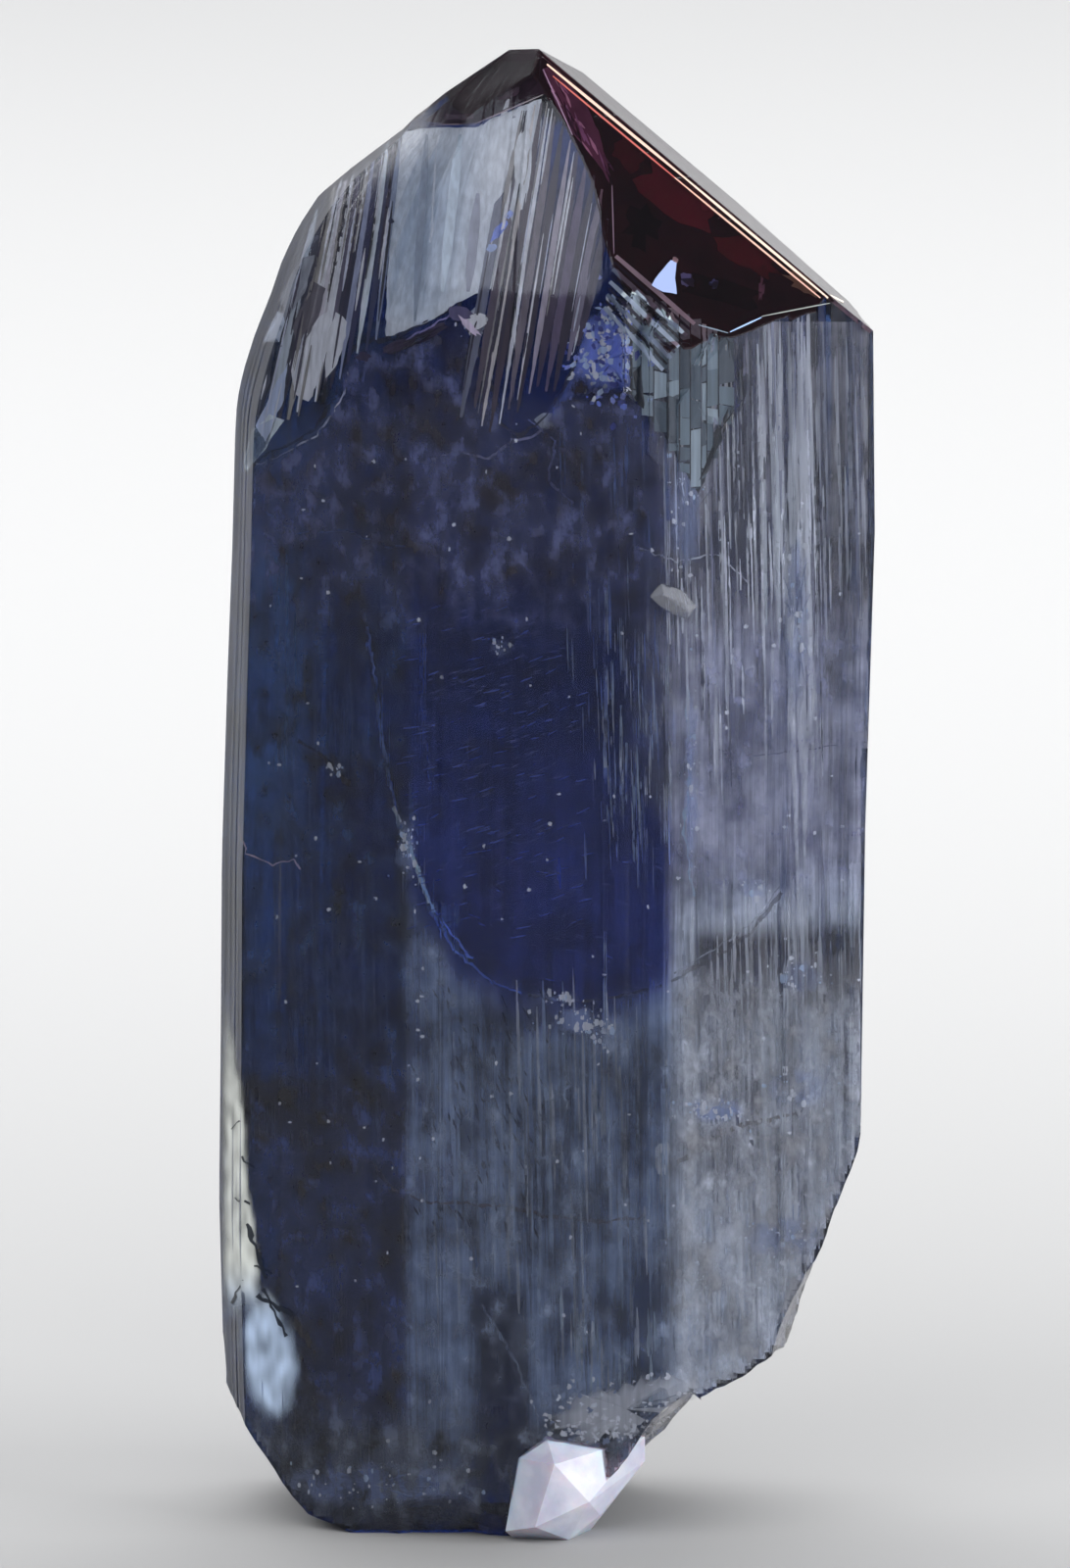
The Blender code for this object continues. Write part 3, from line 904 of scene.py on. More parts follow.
def tanzanite_glass(settings):
    """Clear blue zoisite with natural growth faces.

    The trace metal in it soaks up red and green light, so depth turns it from violet grey to deep blue, and
    the growth faces keep a wet gloss that is broken lengthwise by striae.
    """
    material, tree, output = new_material("tanzanite_growth_faces")
    kind = add_node(tree, "ShaderNodeAttribute", {"attribute_name": "kind"})
    crown, broken, worn = (
        add_node(
            tree,
            "ShaderNodeMath",
            {"operation": "COMPARE", 1: surface, 2: 0.3},
            {0: kind.outputs["Fac"]},
        )
        for surface in (CROWN, BROKEN, WORN)
    )
    skin = add_node(
        tree,
        "ShaderNodeMix",
        {"data_type": "RGBA", 6: (*settings.face_tint, 1), 7: (*settings.crown_tint, 1)},
        {0: crown.outputs[0]},
    )
    tint = add_node(
        tree,
        "ShaderNodeMix",
        {"data_type": "RGBA", 7: (*hex_to_linear("D5D2E4"), 1)},
        {0: broken.outputs[0], 6: skin.outputs[2]},
    )
    # Striae: lines 0.09 mm apart and 4.5 mm long, on the growth UVs, which are in millimetres.
    growth = add_node(tree, "ShaderNodeUVMap", {"uv_map": "growth"})
    stria = add_node(tree, "ShaderNodeMapping", {"Scale": (1 / 0.0909, 1 / 4.55, 1)}, {0: growth.outputs[0]})
    lines = add_node(
        tree,
        "ShaderNodeTexNoise",
        {"Scale": 1.0, "Detail": 3.0, "Roughness": 0.55},
        {"Vector": stria.outputs[0]},
    )
    # Broken faces are shell-shaped: ripples 0.77 mm apart with a fine grain on them.
    place = add_node(tree, "ShaderNodeTexCoord")
    shells = add_node(
        tree,
        "ShaderNodeTexNoise",
        {"Scale": per_metre(0.769)[0], "Detail": 5.0, "Roughness": 0.6},
        {"Vector": place.outputs["Object"]},
    )
    fracture = add_node(
        tree, "ShaderNodeMath", {"operation": "MULTIPLY"}, {0: shells.outputs[0], 1: broken.outputs[0]}
    )
    # The lines are 0.012 mm deep, and the ripples of a break eight times as deep.
    height = add_node(
        tree,
        "ShaderNodeMath",
        {"operation": "MULTIPLY_ADD", 1: 8.0},
        {0: fracture.outputs[0], 2: lines.outputs[0]},
    )
    bump = add_node(
        tree, "ShaderNodeBump", {"Strength": 1.0, "Distance": 0.012 * MM}, {"Height": height.outputs[0]}
    )
    # Worn lines are a little duller than the fresh ones between them, the breaks are duller still, and the
    # worn side is the dullest.
    wear = add_node(
        tree,
        "ShaderNodeMapRange",
        {"From Min": 0.35, "From Max": 0.7, "To Min": 0.02, "To Max": 0.10},
        {"Value": lines.outputs[0]},
    )
    gloss = add_node(
        tree,
        "ShaderNodeMath",
        {"operation": "MULTIPLY_ADD", 1: 0.12},
        {0: broken.outputs[0], 2: wear.outputs[0]},
    )
    dullness = add_node(
        tree,
        "ShaderNodeMath",
        {"operation": "MULTIPLY_ADD", 1: 0.42},
        {0: worn.outputs[0], 2: gloss.outputs[0]},
    )
    shader = add_node(
        tree,
        "ShaderNodeBsdfPrincipled",
        {"IOR": REFRACTION, "Specular Tint": (*hex_to_linear("ADB1BC"), 1), "Transmission Weight": 1.0},
        {"Base Color": tint.outputs[2], "Roughness": dullness.outputs[0], "Normal": bump.outputs[0]},
    )
    depth = add_node(
        tree,
        "ShaderNodeVolumeAbsorption",
        {"Color": (*settings.body_colour, 1), "Density": settings.body_density},
    )
    tree.links.new(shader.outputs[0], output.inputs["Surface"])
    tree.links.new(depth.outputs[0], output.inputs["Volume"])
    return material


def matte_floor(settings):
    """Matt painted board: a plain pale ground with no shine of its own."""
    material, tree, output = new_material("matt_painted_board")
    shader = add_node(
        tree, "ShaderNodeBsdfPrincipled", {"Base Color": (*settings.floor_colour, 1), "Roughness": 0.8}
    )
    tree.links.new(shader.outputs[0], output.inputs["Surface"])
    return material


class TanzaniteSettings(bpy.types.PropertyGroup):
    """The colours and the density that change the looks of the crystal and its floor."""

    body_colour: bpy.props.FloatVectorProperty(
        name="Body colour",
        description="Colour of the light that gets through the crystal",
        subtype="COLOR",
        size=3,
        min=0,
        max=1,
        default=hex_to_linear("519ED0"),
    )
    body_density: bpy.props.FloatProperty(
        name="Body density",
        description="How much light each metre of crystal soaks up",
        default=610.0,
        min=0,
    )
    face_tint: bpy.props.FloatVectorProperty(
        name="Face tint",
        description="Tint of the prism faces",
        subtype="COLOR",
        size=3,
        min=0,
        max=1,
        default=hex_to_linear("E2E4F2"),
    )
    crown_tint: bpy.props.FloatVectorProperty(
        name="Crown tint",
        description="Burgundy tint of the flat faces at the top",
        subtype="COLOR",
        size=3,
        min=0,
        max=1,
        default=hex_to_linear("B89098"),
    )
    floor_colour: bpy.props.FloatVectorProperty(
        name="Floor colour",
        description="Colour of the pale floor",
        subtype="COLOR",
        size=3,
        min=0,
        max=1,
        default=hex_to_linear("A0A0A0"),
    )


# Edges that turn more than this many degrees are sharp.
SHARP_ANGLE = 14


class TANZANITE_OT_blue_crystal(bpy.types.Operator):
    """Builds the dark blue crystal over its solid"""

    bl_idname = "tanzanite.blue_crystal"
    bl_label = "Blue crystal"

    def execute(self, context):
        mesh = loft_prism()
        for point, direction in CROWN_FACES.values():
            cut_flat(mesh, point, direction)
        piece = finish_object(mesh, "blue_crystal")
        # Each kind of surface has a material slot of its own until the cuts are made.
        for _ in range(KINDS):
            piece.data.materials.append(None)
        join_by_boolean(piece, [plate(i, *shape) for i, shape in enumerate(PLATES)], "UNION")
        cutters = [rough_break(name, *shape) for name, shape in BREAKS.items()]
        cutters += [chip_cutter(i, *shape) for i, shape in enumerate(CHIPS)]
        cutters.append(finish_object(pale_form(PALE_GAP), "pale_notch"))
        for cutter in cutters:
            for _ in range(KINDS):
                cutter.data.materials.append(None)
            for face in cutter.data.polygons:
                face.material_index = BROKEN
        join_by_boolean(piece, cutters, "DIFFERENCE")
        kinds = [face.material_index for face in piece.data.polygons]
        piece.data.materials.clear()
        piece.data.materials.append(tanzanite_glass(context.scene.tanzanite))
        kept = piece.data.attributes.new("kind", "FLOAT", "FACE")
        kept.data.foreach_set("value", kinds)
        for face in piece.data.polygons:
            face.material_index = 0
            face.use_smooth = True
        piece.data.set_sharp_from_angle(angle=math.radians(SHARP_ANGLE))
        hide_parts("tanzanite_crystal")
        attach(piece, "root")
        return {"FINISHED"}


# The tone of the zone under each crown face, and how deep it lies.
CROWN_TONES = {
    "wedge_front": "1C080C",
    "wedge_back": "4A343C",
    "crest_front": "1A0C12",
    "crest_rear": "1E1218",
    "crest_flat": "2A1A20",
    "rear_trim": "1C1420",
}
CROWN_ZONE_DEPTH = 0.12
# The painted silver reflection under the shoulder.
SILVER_REFLECTION_OUTLINE = [
    (412, 137), (438, 133), (484, 133), (530, 112), (553, 104), (552, 135), (544, 190), (533, 250),
    (518, 292), (492, 300), (466, 312), (440, 330), (415, 339), (394, 346), (396, 280), (402, 210),
    (408, 165),
]
# The bands of painted reflection on both sides of it: foot, top, width in px, tone and cover.
SHOULDER_REFLECTION_BANDS = [
    ((258, 452), (312, 232), 12, "3A3D44", 0.8),
    ((270, 455), (324, 214), 9, "8B9092", 0.9),
    ((281, 450), (333, 200), 9, "2B2A33", 0.9),
    ((293, 440), (342, 190), 10, "807B72", 0.9),
    ((303, 428), (349, 180), 7, "C4C2BE", 1.0),
    ((312, 420), (356, 172), 9, "928E90", 1.0),
    ((322, 414), (364, 166), 7, "DDDBDA", 1.0),
    ((330, 408), (370, 160), 6, "4A4450", 0.9),
    ((338, 400), (377, 156), 9, "1E1D2C", 0.95),
    ((347, 390), (384, 152), 6, "737788", 0.95),
    ((355, 376), (390, 148), 9, "20203A", 0.95),
    ((365, 364), (397, 146), 7, "A2A8B4", 1.0),
    ((375, 357), (404, 143), 7, "2A2C40", 0.9),
    ((384, 352), (409, 142), 6, "6C7382", 0.9),
    ((470, 432), (526, 122), 11, "62636F", 0.85),
    ((482, 434), (538, 116), 9, "4D424A", 0.9),
    ((492, 436), (546, 110), 6, "ABA59F", 0.95),
    ((501, 436), (553, 108), 9, "362A34", 0.95),
    ((510, 434), (560, 114), 4, "E6E0CF", 1.0),
    ((517, 434), (566, 122), 8, "5E5458", 0.95),
    ((527, 430), (574, 132), 9, "241A27", 0.95),
    ((537, 424), (582, 146), 6, "8B8288", 0.95),
    ((545, 418), (589, 158), 10, "362A39", 0.9),
    ((556, 408), (598, 170), 9, "544759", 0.9),
    ((566, 398), (606, 182), 9, "261C2A", 0.9),
    ((577, 384), (614, 196), 9, "68606C", 0.9),
    ((587, 366), (620, 226), 9, "372D3D", 0.9),
]
# Facets of the chipped left edge: outline and tone, each tone a painted reflection on that facet.
CHIPPED_FACET_REFLECTIONS = [
    ([(256, 400), (270, 372), (282, 350), (276, 392), (262, 432)], "30323C"),
    ([(262, 436), (280, 396), (294, 372), (290, 410), (272, 452)], "8A92A0"),
    ([(296, 372), (318, 330), (338, 318), (334, 372), (316, 412), (302, 404)], "B5AFB2"),
    ([(300, 330), (322, 290), (334, 296), (326, 326), (304, 362)], "4A464C"),
    ([(248, 470), (258, 440), (276, 424), (290, 430), (272, 458), (252, 482)], "9FB0C4"),
    ([(286, 304), (306, 268), (322, 262), (312, 300), (292, 330)], "6E7074"),
    ([(268, 350), (284, 318), (294, 322), (286, 350)], "94989C"),
    ([(330, 352), (344, 320), (356, 330), (346, 372), (334, 388)], "D6CDD0"),
]
# The jagged crack that ends the shoulder below, over the whole front.
SHOULDER_CRACK = [
    (245, 487), (264, 470), (292, 456), (322, 440), (345, 404), (352, 372), (366, 352), (405, 346),
    (440, 329), (468, 312), (474, 334), (486, 352), (500, 384), (512, 436), (532, 446), (556, 430),
    (574, 398), (590, 372), (640, 396),
]
# Streaks on the painted silver reflection: start, end, half width and tone.
SILVER_REFLECTION_LINES = [
    ((490, 206), (519, 104), 4.0, "C6D4D8"), ((452, 300), (470, 140), 5.0, "9CA4A8"),
    ((424, 330), (436, 140), 4.0, "767C84"), ((478, 300), (488, 200), 5.0, "787880"),
    ((538, 240), (549, 108), 2.0, "C8C4BC"), ((440, 250), (446, 150), 1.0, "B4BCC2"),
]
# Spots on it and under it: middle, half width, half height, tone and turn.
SILVER_REFLECTION_SPOTS = [
    (510, 238, 12, 5, "5A6AC8", -0.9), (502, 256, 6, 4, "7C8AE0", -0.6), (520, 222, 6, 3, "6C7AD0", -1.0),
    (470, 322, 12, 8, "3C3650", 0.1), (488, 330, 9, 8, "F2E4E4", 0.3), (480, 336, 14, 4, "B89AA8", 0.8),
    (400, 228, 3, 3, "23253A", 0.0), (440, 342, 22, 5, "241A2A", -0.5), (405, 355, 16, 5, "2A2033", -0.3),
    (372, 366, 7, 5, "2A2236", 0.0), (420, 352, 24, 3, "1A1422", -0.45),
]
# The bands right of this pixel are in the browner shadow, so they glow less.
SHADED_BANDS_FROM = 450
# The dark facet at the tip, and the purple sliver along the edge of the wedge below it.
CREST_OUTLINE = [
    (434, 126), (452, 110), (473, 93), (490, 77), (504, 65), (516, 57), (528, 54), (546, 54), (553, 62),
    (550, 86), (556, 99), (535, 106), (510, 118), (486, 128), (462, 131),
]
SLIVER_OUTLINE = [
    (553, 74), (562, 70), (578, 84), (596, 106), (610, 136), (620, 172), (622, 190), (610, 171), (585, 140),
    (568, 112),
]


class TANZANITE_OT_shoulder_reflections(bpy.types.Operator):
    """Lays the painted silver and brown reflections under the skin of the shoulder"""

    bl_idname = "tanzanite.shoulder_mirrors"
    bl_label = "Shoulder reflections"

    def execute(self, context):
        rng = random.Random(19)
        sheets = Sheets()
        # The silver patch, the bands and the chipped facets below are painted reflections.
        sheets.patch(SILVER_REFLECTION_OUTLINE, 0.14, tone_of("9FA1A1", 0.97), 2.0, 1)
        for index, (foot, top, width, code, cover) in enumerate(SHOULDER_REFLECTION_BANDS):
            short = rng.uniform(-0.03, 0.11)
            foot = (foot[0] + (top[0] - foot[0]) * short, foot[1] + (top[1] - foot[1]) * short)
            gain = INNER_GAIN if foot[0] < SHADED_BANDS_FROM else 0.8 * INNER_GAIN
            depth = 0.10 + 0.01 * (index % 4)
            sheets.line(foot, top, width / 2, depth, tone_of(code, cover, gain), 0.25)
        for index, (outline, code) in enumerate(CHIPPED_FACET_REFLECTIONS):
            sheets.patch(outline, 0.08, tone_of(code, 0.9), 2.0, index)
        self.add_fine_lines(sheets, rng)
        self.add_silver_reflection(sheets)
        sheets.finish("shoulder_mirrors", cleavage_films_and_painted_reflections())
        return {"FINISHED"}

    def add_fine_lines(self, sheets, rng):
        """Fine lines of painted reflection over the bands, all leaning as the bands do."""
        codes = ("DCD8D2", "15121C", "9A9CA4", "1C1826", "2A2433", "6E6A66")
        for _ in range(80):
            (foot, top, _, _, _) = rng.choice(SHOULDER_REFLECTION_BANDS)
            start, length = rng.uniform(0, 0.8), rng.uniform(0.1, 0.6)
            shift = rng.uniform(-6, 6)
            ends = [
                (foot[0] + (top[0] - foot[0]) * share + shift, foot[1] + (top[1] - foot[1]) * share)
                for share in (start, min(1.0, start + length))
            ]
            tone = tone_of(rng.choice(codes), 0.85)
            sheets.line(*ends, rng.uniform(0.5, 1.5), 0.07, tone)

    def add_silver_reflection(self, sheets):
        """The streaks and spots of the painted silver reflection."""
        for start, end, half, code in SILVER_REFLECTION_LINES:
            sheets.line(start, end, half, 0.12, tone_of(code, 0.8))
        for seed, (px, py, half_width, half_height, code, turn) in enumerate(SILVER_REFLECTION_SPOTS, 40):
            sheets.blot(px, py, half_width, half_height, 0.07, tone_of(code, 0.85), seed, 0.6, 12, turn)


# Smoky spots in the crown, and small pale and bluish ones that are painted glints: middle, half width,
# half height, tone and turn.
CROWN_SPOTS_AND_GLINTS = [
    (690, 205, 46, 22, "4A1422", 0.6), (760, 262, 34, 12, "42101A", 0.5), (655, 235, 18, 22, "0E0306", 0.2),
    (735, 300, 40, 12, "120406", 0.3), (640, 160, 20, 12, "3A0E1A", 0.9), (818, 292, 20, 8, "6A5C4A", 0.6),
    (700, 288, 7, 7, "5C6A98", 0.0), (728, 292, 5, 5, "4C5C90", 0.0), (720, 214, 6, 4, "5A2030", 0.0),
    (688, 268, 3, 3, "E0C8D0", 0.0), (776, 296, 3, 12, "5A4656", 0.1), (470, 122, 16, 3, "4A3A44", 0.0),
    (520, 100, 14, 4, "3C2C34", -0.4),
]
# Painted highlights along the crown's edges, with a few darker lines beside them: start, end, half width and
# tone.
CROWN_EDGE_HIGHLIGHTS = [
    ((558, 69), (698, 184), 1.4, "F2B8A8"), ((698, 184), (844, 306), 1.3, "F6C6B4"),
    ((564, 81), (688, 184), 0.9, "B05A54"), ((688, 184), (836, 306), 0.9, "D8A898"),
    ((846, 303), (888, 322), 1.1, "F4D8C8"), ((776, 325), (846, 311), 0.6, "8C908E"),
    ((744, 341), (776, 326), 0.8, "98B0DC"), ((712, 334), (742, 342), 0.7, "6C7888"),
    ((437, 130), (484, 130), 0.5, "5A5058"), ((484, 130), (554, 100), 0.6, "7A727A"),
    ((624, 192), (626, 262), 0.6, "5A4858"), ((554, 74), (584, 141), 0.6, "786078"),
]
# A painted highlight: the small bright patch in the wedge.
GLINT_OUTLINE = [(664, 294), (672, 281), (684, 268), (690, 271), (688, 286), (690, 303), (676, 300)]


class TANZANITE_OT_burgundy_crown(bpy.types.Operator):
    """Lays the burgundy zones, steps and bright edges of the crown"""

    bl_idname = "tanzanite.burgundy_crown"
    bl_label = "Burgundy crown"

    def execute(self, context):
        sheets = Sheets()
        self.add_zones(sheets)
        sheets.patch(CREST_OUTLINE, 0.10, tone_of("22101A", 0.97), 0.8, 3)
        for seed, (px, py, half_width, half_height, code, turn) in enumerate(CROWN_SPOTS_AND_GLINTS, 70):
            sheets.blot(px, py, half_width, half_height, 0.08, tone_of(code, 0.7), seed, 0.5, 16, turn)
        self.add_sliver(sheets)
        self.add_steps(sheets)
        sheets.finish("burgundy_and_glint_zones", burgundy_and_glint_zone())
        self.add_edge_highlights()
        return {"FINISHED"}

    def add_zones(self, sheets):
        """A dark zone a little under each crown face, each face with its own tone."""
        data = bpy.data.objects["blue_crystal"].data
        for face, kind in zip(data.polygons, data.attributes["kind"].data):
            if round(kind.value) != CROWN:
                continue
            facing = {
                name: face.normal.dot(Vector(direction).normalized())
                for name, (_, direction) in CROWN_FACES.items()
            }
            code = CROWN_TONES[max(facing, key=facing.get)]
            inward = Vector(TO_ORIGIN) + face.normal * CROWN_ZONE_DEPTH
            points = [data.vertices[i].co / MM - inward for i in face.vertices]
            sheets.face(points, [tone_of(code, 0.97)] * len(points))

    def add_sliver(self, sheets):
        """The shell-shaped purple sliver along the crest's edge."""
        sheets.patch(SLIVER_OUTLINE, 0.07, tone_of("4E3248", 0.9), 1.5, 6)
        rng = random.Random(5)
        for _ in range(26):
            share = rng.uniform(0.05, 0.95)
            px, py = 556 + 62 * share, 76 + 104 * share
            px += rng.uniform(-6, 9)
            tone = tone_of(rng.choice(("80608A", "2A1426", "A888A8", "4A2E4C")), 0.7)
            end = (px + rng.uniform(4, 12), py + rng.uniform(8, 22))
            sheets.line((px, py), end, rng.uniform(0.6, 2.0), 0.05, tone)

    def add_steps(self, sheets):
        """The stepped growth layers along the crown's lower left edge, their light and dark tones painted
        reflections.
        """
        for index in range(9):
            drop = 6.5 * index
            start = (628 - 1.5 * index, 264 + drop)
            end = (708 - 4.0 * index, 333 + 0.9 * drop)
            tone = tone_of(("8E969E", "1E1A28", "5C6470", "141018")[index % 4], 0.9)
            sheets.line(start, end, 1.6 if index % 2 else 2.4, 0.07, tone, 0.8)

    def add_edge_highlights(self):
        """Thin lines of painted highlight along the crown's edges, and a painted glint in the wedge."""
        sheets = Sheets()
        for start, end, half, code in CROWN_EDGE_HIGHLIGHTS:
            sheets.line(start, end, half, ON_SKIN, tone_of(code, 0.95, 1.2), 0.6)
        sheets.patch(GLINT_OUTLINE, ON_SKIN, tone_of("A4B6E8", 0.8, 1.0), 1.0, 5)
        sheets.finish("edge_highlights", painted_light_film())


# The curved crack under the deep blue heart.
HEART_CRACK = [
    (372, 640), (384, 720), (398, 800), (414, 862), (436, 925), (466, 972), (500, 996), (540, 1014),
    (600, 1018), (660, 1006), (720, 975), (790, 915),
]
# Painted glints where the heart crack is broad and bright: start, end, half width and tone.
HEART_GLINTS = [
    ((404, 822), (417, 862), 2.2, "A4B6E4"), ((415, 856), (430, 896), 2.8, "8CA4DC"),
    ((380, 664), (388, 740), 1.6, "5C70A4"), ((386, 736), (402, 812), 2.0, "6478B0"),
    ((428, 892), (446, 934), 1.8, "6C86D0"), ((446, 932), (486, 984), 1.6, "4C64B8"),
]
# The turned views that look at the sides which the front view doesn't show, in degrees.
FAR_TURNS = (100, 180, 260)
# What a knot of a veil has where nothing is seen.
CLEAR = (0.0, 0.0, 0.0, 0.0)


class TANZANITE_OT_healed_fractures(bpy.types.Operator):
    """Hangs the grey veils and cracks inside the body"""

    bl_idname = "tanzanite.healed_fractures"
    bl_label = "Healed fractures"

    def execute(self, context):
        sheets = Sheets()
        sheets.veil(BODY_LEFT, BODY_TOP, BODY_RIGHT, BODY_FOOT, 7, self.veil_and_sheen_look)
        sheets.finish("healed_veils", healed_veil())
        clouds = Sheets()
        clouds.veil(BODY_LEFT, BODY_TOP, BODY_RIGHT, BODY_FOOT, 5, self.cloud_look)
        clouds.finish("inclusion_clouds", cloudy_veil())
        self.add_far_sides()
        self.add_heart_crack()
        self.add_cracks()
        return {"FINISHED"}

    def veil_and_sheen_look(self, px, py):
        """Depth, tone and cover of the veil and painted sheen under the front skin, by where it lies.

        The parts go from the heart to the zone under it, then down the right face, down the left face and
        to the foot. Each has its cover and its tone. The window is the dark clear strip over the foot
        crystal, and the shade is the dark band where the heart crack meets the right face.
        """
        drift = 26 * noise.noise(Vector((px / 60, py / 160, 2)))
        low = ramp(py + drift - between(HEART_CRACK, px), 0, 60)
        right = ramp(px, 632 + 44 * ramp(py, 760, 880), RIGHT_RIDGE[1])
        left = 1 - ramp(px, *LEFT_RIDGE)
        front = (1 - left) * (1 - right)
        patch = 0.5 + 0.5 * noise.noise(Vector((px / 55, py / 130, 7)))
        rusty = ramp(py + drift, 1070, 1110) * (1 - ramp(py + drift, 1160, 1210))
        window = ramp(px, 478, 492) * ramp(548 + 0.05 * (py - 1400) - px, 0, 14) * ramp(py, 1300, 1330)
        shade = ramp(px, 690, 720) * ramp(py, 930, 960) * (1 - ramp(py, 1010, 1060))
        parts = (
            (front * (1 - low) * (1 - ramp(py, 450, 640)) * 0.16, "40405E"),
            (front * (1 - low) * ramp(py, 700, 900) * 0.30, "1A2C78"),
            (front * low * (1 - window) * (0.45 + 0.4 * patch), "6E788A"),
            # Down the right face the grey and whitish parts are partly a painted sheen of its striae and
            # partly its haze, and the shade is painted shade.
            (right * (1 - shade) * (1 - ramp(py, 600, 680)) * (0.24 + 0.3 * patch), "8A8484"),
            (
                right * (1 - shade) * ramp(py, 600, 680) * (1 - ramp(py, 860, 960)) * (0.42 + 0.4 * patch),
                "9C989C",
            ),
            (right * (1 - shade) * ramp(py, 860, 960) * (1.05 + 0.4 * patch), "E4E0DC"),
            (right * shade * 0.8, "4C4848"),
            (
                right * (1 - ramp(px, 750, 810)) * ramp(py, 1060, 1100) * (1 - ramp(py, 1170, 1240)) * 0.7,
                "4E4A44",
            ),
            (left * rusty * 0.7 * patch, "2C221C"),
            (left * ramp(py + drift, 1080, 1200) * 0.40 * patch, "4A5066"),
            (left * (1 - ramp(py, 560, 700)) * 0.35 * patch, "3C4A64"),
            (
                left * (1 - ramp(px, 290, 330)) * ramp(py, 520, 580) * (1 - ramp(py, 820, 900)) * 0.5 * patch,
                "5C7C9E",
            ),
            ((1 - right) * (1 - window) * ramp(py + drift, 1420, 1470) * 0.85, "363842"),
            (window * 0.5, "141A30"),
        )
        cover = sum(part[0] for part in parts)
        if cover <= 0.01:
            return 0.3, CLEAR
        mixed = sum((Vector(tone_of(code)[:3]) * share for share, code in parts), Vector((0, 0, 0))) / cover
        return 0.25 + 0.12 * patch, (*mixed, min(cover, 1.0))

    def cloud_look(self, px, py):
        """Depth, tone and cover of the wispy clouds, by where they lie.

        Each zone has its cover, its dark tone and its light tone, and goes from one to the other in wisps.
        """
        broad = noise.noise(Vector((px / 48, py / 64, 20)))
        small = noise.noise(Vector((px / 17, py / 24, 23)))
        crease = max(0.0, 1 - 7 * abs(noise.noise(Vector((px / 34, py / 42, 29)))))
        right = ramp(px, *RIGHT_RIDGE)
        left = 1 - ramp(px, *LEFT_RIDGE)
        front = (1 - left) * (1 - right)
        crack = between(SHOULDER_CRACK, px)
        under = ramp(py, crack, crack + 20) * (1 - ramp(py, 560, 680)) * (1 - ramp(px, 640, 690))
        low = ramp(py + 40 * broad - between(HEART_CRACK, px), 0, 60)
        foot = ramp(py + 30 * broad, 1420, 1480) * (1 - right)
        zones = (
            (under * 0.60, "120A18", "464A68"),
            (left * (1 - under) * (1 - ramp(py, 1040, 1140)) * 0.45, "02040C", "1C3458"),
            (left * ramp(py, 1040, 1140) * (1 - foot) * 0.60, "120C0C", "2C3860"),
            (front * (1 - under) * (1 - low) * 0.06, "0C1440", "2C4498"),
            (front * low * (1 - foot) * 0.30, "2A2E38", "7C8490"),
            (right * ramp(py, 560, 680) * (1 - ramp(py, 880, 960)) * 0.22, "50506C", "9494B0"),
            (right * ramp(py, 960, 1040) * 0.42, "7C7A78", "F4F4F4"),
            (foot * 0.60, "0E1014", "5C6068"),
        )
        cover = sum(zone[0] for zone in zones)
        if cover < 0.01:
            return 0.2, CLEAR
        share = min(1.0, max(0.0, 0.34 + 1.1 * broad + 0.9 * small + 0.5 * crease))
        mixed = Vector((0, 0, 0))
        for weight, dark, light in zones:
            mixed += Vector(tone_of(dark)[:3]).lerp(Vector(tone_of(light)[:3]), share) * weight / cover
        return 0.16 + 0.05 * small, (*mixed, min(0.95, cover * (0.6 + 1.6 * abs(small) + 0.3 * crease)))

    def add_far_sides(self):
        """Veils, lines and clouds behind the sides that the photograph doesn't show."""
        far_top, far_foot = 260, 1572
        codes = ("9AA0B0", "1E2440", "6C7690", "141828", "C4C8D0")
        for turn in FAR_TURNS:
            rng = random.Random(turn)
            veils, clouds, lines = Sheets(turn), Sheets(turn), Sheets(turn)
            look = functools.partial(self.far_look, turn)
            veils.veil(BODY_LEFT, BODY_TOP, BODY_RIGHT, far_foot, 10, look)
            look = functools.partial(self.far_cloud_look, turn)
            clouds.veil(BODY_LEFT, far_top, BODY_RIGHT, far_foot, 8, look)
            for _ in range(200):
                px, py = rng.uniform(225, 890), rng.uniform(300, 1400)
                tone = tone_of(rng.choice(codes), 0.4)
                lines.line((px, py), (px, py + rng.uniform(30, 260)), rng.uniform(0.5, 1.6), 0.17, tone)
            veils.finish(f"healed_veils_{turn}", healed_veil())
            clouds.finish(f"inclusion_clouds_{turn}", cloudy_veil())
            lines.finish(f"growth_lines_{turn}", cleavage_films_and_painted_reflections())

    def far_look(self, turn, px, py):
        """Depth, tone and cover of the thin grey veil on a far side, thicker low down."""
        broad = noise.noise(Vector((px / 120, py / 260, turn)))
        low = ramp(py + 120 * broad, 760, 1150)
        cover = 0.35 * max(0.0, broad) + 0.12 * low
        return 0.25, (*tone_of("7E8494")[:3], min(0.6, cover))

    def far_cloud_look(self, turn, px, py):
        """Depth, tone and cover of the wispy clouds on a far side."""
        broad = noise.noise(Vector((px / 50, py / 80, turn + 4)))
        small = noise.noise(Vector((px / 17, py / 26, turn + 9)))
        crease = max(0.0, 1 - 7 * abs(noise.noise(Vector((px / 36, py / 46, turn)))))
        share = min(1.0, max(0.0, 0.4 + 1.1 * broad + 0.9 * small + 0.5 * crease))
        mixed = Vector(tone_of("121628")[:3]).lerp(Vector(tone_of("4E5C80")[:3]), share)
        return 0.16, (*mixed, min(0.7, 0.02 + 0.5 * abs(small) + 0.2 * crease))

